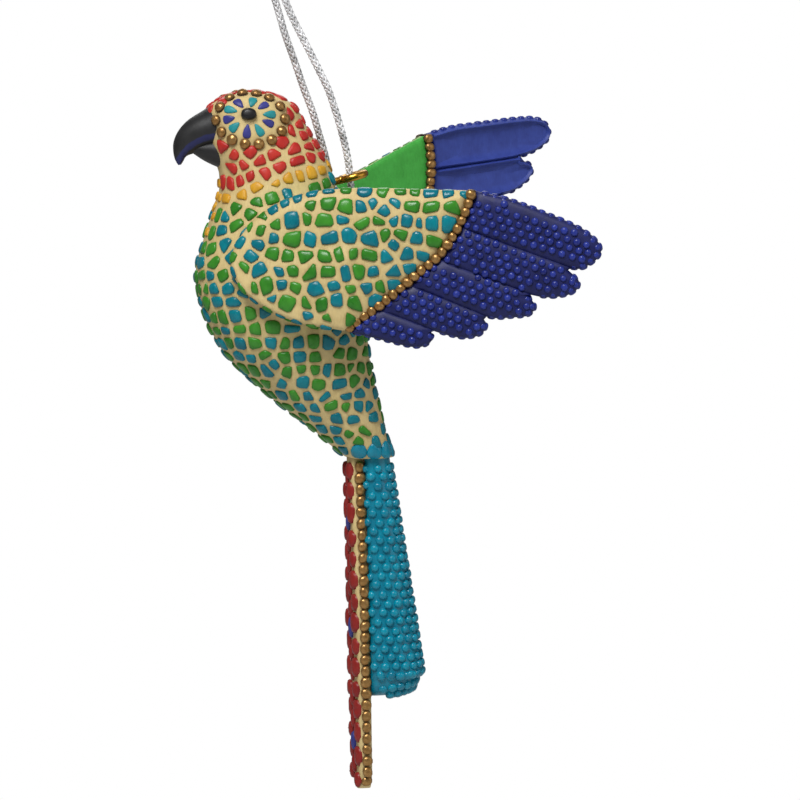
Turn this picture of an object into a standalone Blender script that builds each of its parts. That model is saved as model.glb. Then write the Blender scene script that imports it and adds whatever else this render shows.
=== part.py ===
"""Hanging clay parrot: a mosaic-covered bird on a screw eye and a silver cord loop.

Frame: +Z up, origin where the two cord strands meet under the knot.
The bird faces -X, its left side faces -Y. Lengths below are millimetres.
"""
import math

import bpy
import bmesh
from mathutils import Matrix, Vector

MM = 0.001

# ---------------------------------------------------------------- driving sizes
GAP = 0.3                     # clearance between neighbouring pieces

# The screw eye's place under the cord's meeting point
EYE_BELOW_KNOT = 34.1
EYE_BEHIND_KNOT = 13.7

# Body: height, front, back and half breadth, from the chin level to the rump
BODY_STATIONS = (
    (10.0, -26.8, -8.8, 6.9),
    (7.5, -26.7, -7.3, 7.3),
    (5.0, -26.0, -5.7, 7.7),
    (2.9, -24.5, -4.5, 8.1),
    (1.0, -23.6, -3.6, 8.5),
    (-2.5, -23.5, -2.7, 9.3),
    (-9.6, -25.8, -0.5, 11.2),
    (-16.8, -27.7, 1.3, 12.3),
    (-23.9, -26.5, 2.5, 12.0),
    (-31.1, -22.9, 3.1, 10.7),
    (-38.2, -15.8, 4.5, 8.8),
    (-45.4, -6.8, 6.2, 6.7),
    (-50.4, -0.9, 7.9, 5.2),
)
BREADTH = 1.0                 # widens or narrows the body across its wings
CROWN_HEIGHT = 5.0            # crown above the highest station
CROWN_SHIFT = -1.0
SECTION_POWER = 2.25          # 2 is an ellipse, more is squarer
BODY_SIDES = 28
BODY_WALL = 2.5               # the belly is hollow, the head and neck are solid
HOLLOW_TOP = -5.0
HOLLOW_BOTTOM = -41.0

# Beak
BEAK_RIDGE = ((-23.6, 12.7), (-27.0, 11.3), (-29.3, 9.8), (-30.9, 8.0), (-31.7, 6.2),
              (-31.8, 4.6), (-31.5, 3.0), (-30.8, 1.8))
BEAK_EDGE = ((-21.0, 5.0), (-24.3, 5.1), (-26.4, 4.7), (-28.0, 4.1), (-29.2, 3.7),
             (-29.7, 3.3), (-30.0, 2.7), (-30.4, 2.0))
BEAK_HALF = (4.9, 4.5, 3.9, 3.3, 2.6, 1.9, 1.2, 0.4)
JAW_TOP = ((-21.0, 4.5), (-24.3, 4.6), (-26.2, 4.2), (-27.6, 3.6))
JAW_UNDER = ((-21.0, 0.4), (-24.2, 1.2), (-26.2, 2.2), (-27.4, 3.1))
JAW_HALF = (3.8, 3.3, 2.4, 1.1)

# Eyes and the ring of beads round each
PUPIL_LENGTH = 2.8
PUPIL_HEIGHT = 2.2
PUPIL_PROUD = 1.1
PUPIL_AT = (-19.4, 10.8)
EYE_RING_AT = (-18.8, 10.1)
EYE_RING_HALF = (5.9, 4.45)
EYE_BEADS = 14
EYE_BEAD_DIAMETER = 1.7

# Wings, drawn in their own plane: (along, up) from the shoulder
WING_SPLAY = 18.0             # degrees outward from the bird's length
WING_ROOT = (-13.0, 13.0)     # the plane's x, and its distance from the middle
WING_OUT = 0.9                # outer face from the plane, at the edge
WING_IN = 1.1                 # inner face from the plane
WING_SWELL = 1.8              # extra swell in the middle of the coverts
ROOT_DEPTH = 4.0              # how far the coverts' root reaches in to the body
COVERT_TOP = ((31.9, -2.3), (25.0, -2.1), (17.0, -1.9), (9.0, -2.0), (3.0, -2.7),
              (-3.0, -5.0), (-7.5, -8.6), (-10.2, -13.0), (-10.2, -16.5), (-8.0, -20.0),
              (-3.5, -23.2), (2.0, -25.4), (9.7, -26.7))
BAND = ((32.1, -2.3), (30.7, -6.5), (28.6, -10.5), (26.0, -14.0), (22.5, -16.9),
        (19.0, -19.9), (15.5, -22.7), (12.0, -25.2), (9.9, -26.8))
WING_BEADS = 19
WING_BEAD_DIAMETER = 1.9
FEATHERS = 5
FEATHER_THICK = 2.6
FEATHER_SWELL = 0.5
# each feather: upper tip corner, point, lower corner, and the notch under it
FEATHER_TIPS = (
    ((43.5, -5.7), (51.0, -9.0), (54.0, -12.3), (52.0, -15.0), (47.6, -15.1)),
    ((48.2, -15.9), (50.2, -17.9), (49.6, -19.6), (46.6, -20.6), (41.0, -19.8)),
    ((41.4, -20.5), (42.6, -22.2), (41.6, -23.8), (38.8, -24.2), (33.5, -23.7)),
    ((33.6, -24.4), (34.2, -25.8), (32.8, -27.4), (29.6, -27.8), (24.6, -26.3)),
    ((24.4, -27.0), (24.8, -28.0), (23.6, -29.2), (20.8, -29.4), (13.6, -27.7)),
)
# side: across sign, degrees raised, shift along and up, coverts' extra reach
# forward, extra length of the first feather
WINGS = {
    "left": (-1.0, 0.0, (0.0, 0.0), 0.0, 0.0),
    "right": (1.0, 27.0, (10.2, -3.5), 8.0, 3.0),
}
WING_PIVOT = (0.0, -14.0)

# Tail: a long slab under the body, a lobe of coverts behind it
TAIL_LENGTH = 59.8
TAIL_FRONT_TOP = -0.4
TAIL_FRONT_END = 1.1
TAIL_THICK = 2.9
TAIL_THICK_END = 2.4
TAIL_HALF_TOP = 2.5
TAIL_HALF_MID = 4.2
TAIL_HALF_END = 3.7
TAIL_BEADS = 28
TAIL_BEAD_WIDTH = 1.9
TAIL_BEAD_PROUD = 0.9
LOBE_LENGTH = 38.6
LOBE_DEPTH_TOP = 4.5
LOBE_DEPTH_END = 9.9
LOBE_HALF_TOP = 4.2
LOBE_HALF_END = 6.2
LOBE_CHAMFER = 4.2

# Screw eye and hidden wires
EYE_WIRE = 1.4
EYE_RING_DIAMETER = 5.8       # outside
EYE_RING_HEIGHT = -0.1        # the ring's middle, from the cord's reference point
CORD_RUN = 0.19               # clearance between the ring's wire and the cord in it
EYE_RING_TILT = 15.0          # degrees, the rear side higher
SHANK_LENGTH = 9.0
PIN_DIAMETER = 1.2
PIN_AT = (1.0, -14.0)         # in the wing's drawn plane
PIN_IN_WING = 3.4             # measured in from the coverts' plane
PIN_IN_BODY = 3.4
TAIL_WIRE_DIAMETER = 1.0
TAIL_WIRE_LENGTH = 34.0
TAIL_WIRE_IN_BODY = 12.0

# Cord and knot
CORD_DIAMETER = 1.43
CORD_THROUGH = ((-12.9, 0.0, 34.1), (-11.8, 0.0, 31.4), (-10.3, 0.0, 27.9),
                (-7.5, 0.0, 22.5), (-5.65, 0.0, 18.9), (-3.95, 0.0, 15.4),
                (-2.7, 0.0, 11.8), (-1.6, 0.0, 8.2), (-0.7, 0.0, 4.6), (-0.2, 0.0, 1.8))
CORD_BEND_AT = (-1.3, 2.72, -0.6)
CORD_BEND_RADIUS = 3.02
CORD_BEND_BOW = 0.8           # the bend stands off the nape by this much
CORD_BEHIND = ((-3.4, 5.2, 3.2), (-5.0, 4.4, 8.2), (-6.2, 3.8, 11.8), (-7.7, 3.2, 15.4),
               (-9.7, 2.3, 20.7), (-11.4, 1.5, 25.0), (-12.5, 0.8, 28.3),
               (-13.5, 0.3, 31.4), (-14.5, 0.0, 34.1))
KNOT_SIZE = (4.6, 4.0, 4.6)
KNOT_LEAN = -0.9
KNOT_ENDS = 5.0

# ---------------------------------------------------------------- scene helpers
EYE = Vector((EYE_BEHIND_KNOT, 0.0, -EYE_BELOW_KNOT))
# the bird swings where the ring's left rear wire rests on the cord
RING_RADIUS = (EYE_RING_DIAMETER - EYE_WIRE) / 2
RING_OFF = (RING_RADIUS - (EYE_WIRE + CORD_DIAMETER) / 2 - CORD_RUN) * math.sqrt(0.5)
RING_CENTRE = Vector((RING_OFF, -RING_OFF, EYE_RING_HEIGHT))
TILT = math.radians(EYE_RING_TILT)
SWING = EYE + Vector((RING_CENTRE.x - RING_RADIUS * math.cos(TILT) * math.sqrt(0.5), 0.0,
                      RING_CENTRE.z - RING_RADIUS * math.sin(TILT) * math.sqrt(0.5)))


def clear_scene():
    for ob in list(bpy.data.objects):
        bpy.data.objects.remove(ob, do_unlink=True)


def material(name, rgb, roughness, metallic=0.0):
    mat = bpy.data.materials.new(name)
    mat.use_nodes = True
    bsdf = mat.node_tree.nodes["Principled BSDF"]
    bsdf.inputs["Base Color"].default_value = (*rgb, 1.0)
    bsdf.inputs["Roughness"].default_value = roughness
    bsdf.inputs["Metallic"].default_value = metallic
    mat.diffuse_color = (*rgb, 1.0)
    return mat


def empty(name, at):
    ob = bpy.data.objects.new(name, None)
    ob.empty_display_size = 0.005
    ob.location = Vector(at) * MM
    bpy.context.collection.objects.link(ob)
    return ob


def link(ob, parent, mat):
    bpy.context.collection.objects.link(ob)
    ob.parent = parent
    if mat is not None:
        ob.data.materials.append(mat)
    return ob


def mesh_object(name, bm, parent, mat, smooth=40.0):
    """Make an object of a bmesh whose vertices are in mm from the parent."""
    bmesh.ops.remove_doubles(bm, verts=bm.verts, dist=1e-5)
    bmesh.ops.recalc_face_normals(bm, faces=bm.faces)
    bmesh.ops.scale(bm, vec=(MM, MM, MM), verts=bm.verts)
    mesh = bpy.data.meshes.new(name)
    bm.to_mesh(mesh)
    bm.free()
    mesh.shade_smooth()
    mesh.set_sharp_from_angle(angle=math.radians(smooth))
    return link(bpy.data.objects.new(name, mesh), parent, mat)


def helper(ob):
    ob.hide_render = True
    ob.display_type = 'WIRE'
    return ob


def cut(ob, cutter, operation='DIFFERENCE'):
    mod = ob.modifiers.new(cutter.name, 'BOOLEAN')
    mod.operation = operation
    mod.solver = 'EXACT'
    mod.object = cutter


def loft(bm, rings, start=None, end=None):
    """Skin closed rings of points; start and end close to a point, or stay flat."""
    rows = [[bm.verts.new(p) for p in ring] for ring in rings]
    for a, b in zip(rows, rows[1:]):
        for i in range(len(a)):
            j = (i + 1) % len(a)
            bm.faces.new((a[i], a[j], b[j], b[i]))
    for row, tip in ((rows[0], start), (rows[-1], end)):
        if tip is None:
            bm.faces.new(row)
        else:
            top = bm.verts.new(tip)
            for i in range(len(row)):
                bm.faces.new((row[i], row[(i + 1) % len(row)], top))


def bird(p):
    """A point given from the screw eye, as the swing's child sees it."""
    return Vector(p) + EYE - SWING


def hermite(table, x):
    """Smooth value of a table of rows (x, values...) sorted downward in x."""
    rows = table
    if x >= rows[0][0]:
        return rows[0][1:]
    if x <= rows[-1][0]:
        return rows[-1][1:]
    k = 0
    while rows[k + 1][0] > x:
        k += 1

    def slope(i, c):
        a, b = max(i - 1, 0), min(i + 1, len(rows) - 1)
        return (rows[b][c] - rows[a][c]) / (rows[b][0] - rows[a][0])
    h = rows[k + 1][0] - rows[k][0]
    t = (x - rows[k][0]) / h
    out = []
    for c in range(1, len(rows[0])):
        p0, p1 = rows[k][c], rows[k + 1][c]
        m0, m1 = slope(k, c) * h, slope(k + 1, c) * h
        out.append((2 * t**3 - 3 * t**2 + 1) * p0 + (t**3 - 2 * t**2 + t) * m0
                   + (3 * t**2 - 2 * t**3) * p1 + (t**3 - t**2) * m1)
    return tuple(out)


# ---------------------------------------------------------------- body
TOP = BODY_STATIONS[0][0]
RUMP = BODY_STATIONS[-1][0]


def body_section(z, grow=0.0):
    """Middle, half depth and half breadth of the body at a height."""
    front, back, half = hermite(BODY_STATIONS, min(z, TOP))
    middle, depth = (front + back) / 2, (back - front) / 2
    half *= BREADTH
    if z > TOP:
        t = min((z - TOP) / (CROWN_HEIGHT + grow), 1.0)
        middle += CROWN_SHIFT * (1 - (1 - t) ** 2)
        depth = (depth + grow) * math.sqrt(max(1 - t * t, 0))
        half = (half + grow) * max(1 - t ** 2.6, 0) ** (1 / 2.6)
        return middle, depth, half
    return middle, depth + grow, half + grow


def super_ring(middle, depth, half, z, sides, power):
    ring = []
    for i in range(sides):
        a = 2 * math.pi * i / sides
        c, s = math.cos(a), math.sin(a)
        k = (abs(c) ** power + abs(s) ** power) ** (-1 / power)
        ring.append((middle + depth * k * c, half * k * s, z))
    return ring


def body_mesh(grow=0.0):
    bm = bmesh.new()
    crown = CROWN_HEIGHT + grow
    levels = [TOP + crown * math.sin(math.radians(a)) for a in (80, 68, 54, 40, 27, 14)]
    steps = 18
    bottom = RUMP - grow
    levels += [TOP + (bottom - TOP) * i / steps for i in range(steps + 1)]
    rings = []
    for z in levels:
        m, d, h = body_section(z, grow)
        rings.append([bird(p) for p in super_ring(m, d, h, z, BODY_SIDES, SECTION_POWER)])
    m = body_section(TOP + crown, grow)[0]
    loft(bm, rings, start=bird((m, 0.0, TOP + crown)))
    return bm


def hollow_mesh():
    """The hollow of the belly, a wall's thickness inside the skin."""
    bm = bmesh.new()
    steps = 12
    rings = []
    for i in range(steps + 1):
        z = HOLLOW_TOP + (HOLLOW_BOTTOM - HOLLOW_TOP) * i / steps
        m, d, h = body_section(z, -BODY_WALL)
        k = (0.45, 0.8)[min(i, steps - i)] if min(i, steps - i) < 2 else 1.0
        rings.append([bird(p) for p in super_ring(m, d * k, h * k, z, 18, 2.0)])
    loft(bm, rings)
    return bm


def side_point(x, z, side, proud=0.0):
    """Point on the body's flank at (x, z), and the outward normal there."""
    def y_at(x, z):
        m, d, h = body_section(z)
        k = min(abs(x - m) / max(d, 1e-6), 0.999)
        return h * (1 - k ** SECTION_POWER) ** (1 / SECTION_POWER)
    e = 0.05
    y = y_at(x, z)
    gx = (y_at(x + e, z) - y_at(x - e, z)) / (2 * e)
    gz = (y_at(x, z + e) - y_at(x, z - e)) / (2 * e)
    n = Vector((-gx, 1.0, -gz)).normalized()
    p = Vector((x, y, z)) + n * proud
    return Vector((p.x, side * p.y, p.z)), Vector((n.x, side * n.y, n.z))


def rod(name, a, b, diameter, parent, mat, sides=16, bevel=0.0):
    """A straight round rod from a to b, in the parent's mm."""
    a, b = Vector(a), Vector(b)
    bm = bmesh.new()
    axis = (b - a).normalized()
    rot = axis.to_track_quat('Z', 'Y').to_matrix()
    length = (b - a).length
    profile = [(0.0, diameter / 2)]
    if bevel:
        profile = [(0.0, diameter / 2 - bevel), (bevel, diameter / 2)]
        profile += [(length - bevel, diameter / 2), (length, diameter / 2 - bevel)]
    else:
        profile.append((length, diameter / 2))
    rings = []
    for h, r in profile:
        rings.append([a + rot @ Vector((r * math.cos(2 * math.pi * i / sides),
                                        r * math.sin(2 * math.pi * i / sides), h))
                      for i in range(sides)])
    loft(bm, rings)
    return mesh_object(name, bm, parent, mat)


def tube(name, points, diameter, parent, mat, resolution=2):
    """A round tube along points, in the parent's mm, with flat closed ends."""
    cu = bpy.data.curves.new(name, 'CURVE')
    cu.dimensions = '3D'
    cu.bevel_depth = diameter / 2 * MM
    cu.bevel_resolution = resolution
    cu.resolution_u = 1
    cu.render_resolution_u = 0
    cu.use_fill_caps = True
    sp = cu.splines.new('POLY')
    sp.points.add(len(points) - 1)
    for q, p in zip(sp.points, points):
        q.co = (*(Vector(p) * MM), 1.0)
    return link(bpy.data.objects.new(name, cu), parent, mat)


def smooth_path(points, step):
    """Catmull-Rom curve through points, sampled about every step mm."""
    pts = [Vector(p) for p in points]
    pts = [pts[0] * 2 - pts[1]] + pts + [pts[-1] * 2 - pts[-2]]
    fine = []
    for k in range(1, len(pts) - 2):
        p0, p1, p2, p3 = pts[k - 1:k + 3]
        for i in range(40):
            t = i / 40
            fine.append(0.5 * ((2 * p1) + (p2 - p0) * t + (2 * p0 - 5 * p1 + 4 * p2 - p3) * t * t
                               + (3 * p1 - p0 - 3 * p2 + p3) * t ** 3))
    fine.append(pts[-2])
    total = sum((b - a).length for a, b in zip(fine, fine[1:]))
    count = max(2, round(total / step))
    out, run, want = [fine[0]], 0.0, 1
    for a, b in zip(fine, fine[1:]):
        d = (b - a).length
        while want < count and run + d >= total * want / count:
            out.append(a.lerp(b, (total * want / count - run) / d))
            want += 1
        run += d
    out.append(fine[-1])
    return out


# ---------------------------------------------------------------- wings
class Wing:
    def __init__(self, side):
        self.name = side
        self.sign, raised, self.shift, self.reach, self.longer = WINGS[side]
        a = math.radians(WING_SPLAY)
        self.root = Vector((WING_ROOT[0], self.sign * WING_ROOT[1] * BREADTH, 0.0))
        self.along = Vector((math.cos(a), self.sign * math.sin(a), 0.0))
        self.out = Vector((-math.sin(a), self.sign * math.cos(a), 0.0))
        self.turn = math.radians(raised)

    def place(self, s, t, h):
        """Point (along, up) of the drawn wing, h outward from its plane."""
        if self.reach:
            k = min(max((s + 10.2) / 34.0, 0.0), 1.0)
            s -= self.reach * (1 - k * k * (3 - 2 * k))
        s, t = s - WING_PIVOT[0], t - WING_PIVOT[1]
        c, q = math.cos(self.turn), math.sin(self.turn)
        s, t = s * c - t * q, s * q + t * c
        s += WING_PIVOT[0] + self.shift[0]
        t += WING_PIVOT[1] + self.shift[1]
        return bird(self.root + self.along * s + Vector((0, 0, t)) + self.out * h)


def resample(points, count):
    path = smooth_path([(p[0], p[1], 0.0) for p in points], 0.25)
    total = sum((b - a).length for a, b in zip(path, path[1:]))
    out, run, want = [path[0]], 0.0, 1
    for a, b in zip(path, path[1:]):
        d = (b - a).length
        while want < count - 1 and run + d >= total * want / (count - 1):
            out.append(a.lerp(b, (total * want / (count - 1) - run) / d))
            want += 1
        run += d
    out.append(path[-1])
    return [(p.x, p.y) for p in out]


def inset_line(points, by):
    """Shift an open line of (along, up) points sideways, to its left."""
    out = []
    for i, p in enumerate(points):
        a, b = points[max(i - 1, 0)], points[min(i + 1, len(points) - 1)]
        d = Vector((b[0] - a[0], b[1] - a[1])).normalized()
        out.append((p[0] - d.y * by, p[1] + d.x * by))
    return out


def covert_panel(wing, mat, parent):
    """Swollen panel of wing coverts, its root reaching in to the body."""
    band = inset_line(resample(BAND, 11), -GAP / 2)
    edge = resample(COVERT_TOP, 21)
    outline = edge + list(reversed(band))
    cx = sum(p[0] for p in outline) / len(outline)
    cy = sum(p[1] for p in outline) / len(outline)
    bm = bmesh.new()

    def ring(f, h):
        return [wing.place(cx + (s - cx) * f, cy + (t - cy) * f, h(s, t)) for s, t in outline]

    def inner(s, t):
        k = min(max((s + 3.0) / 12.0, 0.0), 1.0)
        return -WING_IN - ROOT_DEPTH * (1 - k * k * (3 - 2 * k))
    rings = [ring(1.0, inner), ring(1.0, lambda s, t: WING_OUT * 0.4)]
    for f, k in ((0.965, 0.0), (0.86, 0.45), (0.68, 0.75), (0.42, 0.94)):
        rings.append(ring(f, lambda s, t, k=k: WING_OUT + WING_SWELL * k))
    loft(bm, rings, end=wing.place(cx, cy, WING_OUT + WING_SWELL))
    return mesh_object(wing.name + "_wing_coverts", bm, parent, mat)


def feather_outline(k, longer):
    """Outline of feather k, from its root along the band round its tip."""
    band = inset_line(resample(BAND, FEATHERS * 3 + 1), GAP / 2)
    root = band[k * 3:k * 3 + 4]
    tip = list(FEATHER_TIPS[k])
    if k == 0:
        tip[1:4] = [(s + longer, t - longer * 0.3) for s, t in tip[1:4]]
    lower = tip[-1]
    edge_top = [tip[0]] if k == 0 else []
    # the boundary with the feather above runs to that feather's notch
    upper_root, lower_root = root[0], root[-1]
    g = GAP / 2

    def shifted(p, q, end, by):
        d = Vector((q[0] - p[0], q[1] - p[1])).normalized()
        return (end[0] - d.y * by, end[1] + d.x * by)
    if k == 0:
        upper = [upper_root, (38.0, -3.7)] + edge_top
    else:
        notch = FEATHER_TIPS[k - 1][-1]
        upper = [shifted(upper_root, notch, upper_root, -g),
                 shifted(upper_root, notch, notch, -g)]
    if k == FEATHERS - 1:
        low = [lower, lower_root]
    else:
        low = [shifted(lower_root, lower, lower, g), shifted(lower_root, lower, lower_root, g)]
    nose = list(tip[1:-1]) if k == 0 else list(tip[:-1])
    return upper + nose + low + list(reversed(root[1:-1]))


def feather(wing, k, mat, parent):
    outline = feather_outline(k, wing.longer)
    cx = sum(p[0] for p in outline) / len(outline)
    cy = sum(p[1] for p in outline) / len(outline)
    half = FEATHER_THICK / 2
    bm = bmesh.new()

    def ring(f, h):
        return [wing.place(cx + (s - cx) * f, cy + (t - cy) * f, h) for s, t in outline]
    rings = [ring(0.93, -half), ring(1.0, -half * 0.5), ring(1.0, half * 0.5), ring(0.9, half)]
    rings.append(ring(0.5, half + FEATHER_SWELL))
    loft(bm, rings)
    return mesh_object("%s_feather_%d" % (wing.name, k + 1), bm, parent, mat)


def bead_strip(name, path, normals, count, width, proud, parent, mat):
    """Half-round strip of touching beads; path and normals follow its flat back."""
    bm = bmesh.new()
    rings = []
    n = len(path) - 1

    def at(u):
        k = min(int(u * n), n - 1)
        f = u * n - k
        return path[k].lerp(path[k + 1], f), normals[k].lerp(normals[k + 1], f).normalized()
    stops = []
    for i in range(count):
        stops += [((i + 0.04) / count, 0.62), ((i + 0.3) / count, 1.0), ((i + 0.7) / count, 1.0)]
    stops.append(((count - 0.04) / count, 0.62))
    for u, r in stops:
        p, nrm = at(u)
        q, _ = at(min(u + 0.01, 1.0))
        o, _ = at(max(u - 0.01, 0.0))
        side = (q - o).normalized().cross(nrm).normalized()
        rings.append([p + side * (math.cos(a) * width / 2 * r) + nrm * (math.sin(a) * proud * r)
                      for a in (0.0, math.pi / 4, math.pi / 2, 3 * math.pi / 4, math.pi)])
    loft(bm, rings)
    return mesh_object(name, bm, parent, mat, smooth=60.0)


# ---------------------------------------------------------------- tail
TAIL_TOP = RUMP - GAP


def tail_half(f):
    """Half width of the long tail, f from 0 at the root to 1 at the tip."""
    if f < 0.45:
        k = f / 0.45
        k = k * k * (3 - 2 * k)
        return TAIL_HALF_TOP + (TAIL_HALF_MID - TAIL_HALF_TOP) * k
    k = (f - 0.45) / 0.55
    half = TAIL_HALF_MID + (TAIL_HALF_END - TAIL_HALF_MID) * k
    if f > 0.93:
        half *= math.sqrt(max(1 - ((f - 0.93) / 0.075) ** 2, 0.0))
    return half


def tail_front(f):
    return TAIL_FRONT_TOP + (TAIL_FRONT_END - TAIL_FRONT_TOP) * f


def tail_thick(f):
    return TAIL_THICK + (TAIL_THICK_END - TAIL_THICK) * f


def long_tail(parent, mat):
    bm = bmesh.new()
    rings = []
    for f in [i / 18 for i in range(17)] + [0.93, 0.955, 0.975, 0.99, 1.0]:
        z = TAIL_TOP - TAIL_LENGTH * f
        x0, w, th = tail_front(f), tail_half(f), tail_thick(f)
        r = 0.35
        rings.append([bird(p) for p in (
            (x0, -w + r, z), (x0 + r, -w, z), (x0 + th - r, -w, z), (x0 + th, -w + r, z),
            (x0 + th, w - r, z), (x0 + th - r, w, z), (x0 + r, w, z), (x0, w - r, z))])
    loft(bm, rings)
    return mesh_object("long_tail", bm, parent, mat)


def tail_lobe(parent, mat):
    """Blunt lobe of tail coverts on the back of the long tail."""
    bm = bmesh.new()
    rings = []
    steps = 9
    for i in range(steps + 1):
        f = i / steps
        z = TAIL_TOP - LOBE_LENGTH * f
        rings.append((z, f, 0.0))
    rings.append((TAIL_TOP - LOBE_LENGTH - LOBE_CHAMFER * 0.45, 1.0, 0.16))
    rings.append((TAIL_TOP - LOBE_LENGTH - LOBE_CHAMFER * 0.85, 1.0, 0.36))
    rings.append((TAIL_TOP - LOBE_LENGTH - LOBE_CHAMFER, 1.0, 0.55))
    out = []
    for z, f, inset in rings:
        g = (TAIL_TOP - z) / TAIL_LENGTH
        x0 = tail_front(g) + tail_thick(g) + GAP
        deep = LOBE_DEPTH_TOP + (LOBE_DEPTH_END - LOBE_DEPTH_TOP) * f
        wide = LOBE_HALF_TOP + (LOBE_HALF_END - LOBE_HALF_TOP) * f
        deep *= 1 - inset
        wide *= 1 - inset
        row = [(x0, -wide * 0.9), (x0 + deep * 0.12, -wide), (x0 + deep * 0.5, -wide),
               (x0 + deep * 0.78, -wide * 0.84), (x0 + deep * 0.94, -wide * 0.5),
               (x0 + deep, 0.0)]
        row += [(x, -y) for x, y in reversed(row[:-1])]
        out.append([bird((x, y, z)) for x, y in row])
    loft(bm, out)
    return mesh_object("tail_lobe", bm, parent, mat)


# ---------------------------------------------------------------- build
def build():
    clear_scene()
    clay = material("cream_clay", (0.55, 0.43, 0.22), 0.6)
    green = material("green_paint", (0.05, 0.24, 0.035), 0.4)
    teal = material("teal_paint", (0.01, 0.16, 0.22), 0.4)
    blue = material("blue_paint", (0.025, 0.035, 0.17), 0.38)
    black = material("black_paint", (0.02, 0.02, 0.021), 0.3)
    gold = material("gold_bead", (0.34, 0.19, 0.07), 0.42, 0.4)
    brass = material("brass_wire", (0.66, 0.42, 0.16), 0.3, 1.0)
    steel = material("steel_wire", (0.45, 0.45, 0.46), 0.4, 1.0)
    silver = material("silver_braid", (0.62, 0.62, 0.63), 0.35, 0.8)

    hanging = empty("hanging_point", (0.0, 0.0, 0.0))
    swing = empty("bird_swing_axis", SWING)

    # body, drilled for the screw eye and the wires
    body = mesh_object("body", body_mesh(), swing, clay)
    seat = helper(mesh_object("body_seat", body_mesh(GAP), swing, None))
    cut(body, helper(mesh_object("body_hollow", hollow_mesh(), swing, None)))

    back = Vector((math.cos(TILT), 0.0, math.sin(TILT)))
    centre = RING_CENTRE
    neck = centre - back * (RING_RADIUS + EYE_WIRE * 1.2)
    path = [neck - back * SHANK_LENGTH, neck - back * (SHANK_LENGTH - 0.8)]
    path += [neck - back * SHANK_LENGTH * 0.4, neck]
    turn = [centre + Matrix.Rotation(-TILT, 3, 'Y') @ Vector(
        (-math.cos(a) * RING_RADIUS, -math.sin(a) * RING_RADIUS, 0.0))
        for a in [math.radians(22 + 310 * i / 26) for i in range(27)]]
    path += turn
    tube("screw_eye", [bird(p) for p in path], EYE_WIRE, swing, brass, resolution=3)
    hole_end = neck - back * (SHANK_LENGTH + GAP)
    bore = helper(rod("screw_hole", bird(neck + back * 0.6), bird(hole_end),
                      EYE_WIRE + 2 * GAP, swing, None))
    cut(body, bore)

    # beak
    for name, top, low, half in (("upper_beak", BEAK_RIDGE, BEAK_EDGE, BEAK_HALF),
                                 ("lower_beak", JAW_TOP, JAW_UNDER, JAW_HALF)):
        bm = bmesh.new()
        rings = []
        for a, b, w in zip(top, low, half):
            mid = Vector(((a[0] + b[0]) / 2, 0.0, (a[1] + b[1]) / 2))
            arm = Vector(((a[0] - b[0]) / 2, 0.0, (a[1] - b[1]) / 2))
            rings.append([bird(mid + arm * math.cos(t) + Vector((0, w * math.sin(t), 0)))
                          for t in [2 * math.pi * i / 16 for i in range(16)]])
        loft(bm, rings)
        cut(mesh_object(name, bm, swing, black), seat)

    # eyes and their bead rings
    for side, sign in (("left", -1.0), ("right", 1.0)):
        p, n = side_point(PUPIL_AT[0], PUPIL_AT[1], sign, GAP)
        bm = bmesh.new()
        turn_to = n.to_track_quat('Z', 'X').to_matrix()
        rings = [[Vector((PUPIL_HEIGHT / 2 * r * math.cos(a), PUPIL_LENGTH / 2 * r * math.sin(a),
                          PUPIL_PROUD * h))
                  for a in [2 * math.pi * i / 14 for i in range(14)]]
                 for r, h in ((1.0, 0.0), (0.92, 0.42), (0.68, 0.76), (0.36, 0.95))]
        loft(bm, rings, end=Vector((0, 0, PUPIL_PROUD)))
        eye = mesh_object(side + "_eye", bm, swing, black)
        eye.matrix_local = Matrix.Translation(bird(p) * MM) @ turn_to.to_4x4()
        ring = []
        for i in range(360):
            a = math.radians(i)
            x = EYE_RING_AT[0] + EYE_RING_HALF[0] * math.cos(a)
            z = EYE_RING_AT[1] + EYE_RING_HALF[1] * math.sin(a)
            ring.append(side_point(x, z, sign, GAP))
        total = sum((ring[i][0] - ring[i - 1][0]).length for i in range(360))
        bm = bmesh.new()
        r = EYE_BEAD_DIAMETER / 2
        loft(bm, [[Vector((r * k * math.cos(a), r * k * math.sin(a), r * h))
                   for a in [2 * math.pi * i / 8 for i in range(8)]]
                  for k, h in ((1.0, 0.0), (0.8, 0.6))], end=Vector((0, 0, r)))
        shared = None
        run, want = 0.0, 0
        for i in range(360):
            if want < EYE_BEADS and run >= total * want / EYE_BEADS:
                q, m = ring[i]
                name = "%s_eye_bead_%02d" % (side, want + 1)
                if shared is None:
                    ob = mesh_object(name, bm, swing, gold)
                    shared = ob.data
                else:
                    ob = link(bpy.data.objects.new(name, shared), swing, None)
                ob.matrix_local = (Matrix.Translation(bird(q) * MM)
                                   @ m.to_track_quat('Z', 'X').to_matrix().to_4x4())
                want += 1
            run += (ring[(i + 1) % 360][0] - ring[i][0]).length

    # wings
    for side in ("left", "right"):
        wing = Wing(side)
        panel = covert_panel(wing, green, swing)
        cut(panel, seat)
        for k in range(FEATHERS):
            feather(wing, k, blue, swing)
        arc = inset_line(resample(BAND, 40), -0.35)
        lift_out = WING_OUT + GAP + 0.35
        lift_in = FEATHER_THICK / 2 + GAP + 0.1
        bead_strip(side + "_wing_beads", [wing.place(s, t, lift_out) for s, t in arc],
                   [wing.out] * 40, WING_BEADS, WING_BEAD_DIAMETER, WING_BEAD_DIAMETER / 2,
                   swing, gold)
        bead_strip(side + "_wing_inner_beads", [wing.place(s, t, -lift_in) for s, t in arc],
                   [-wing.out] * 40, WING_BEADS, WING_BEAD_DIAMETER, WING_BEAD_DIAMETER / 2,
                   swing, gold)
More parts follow.
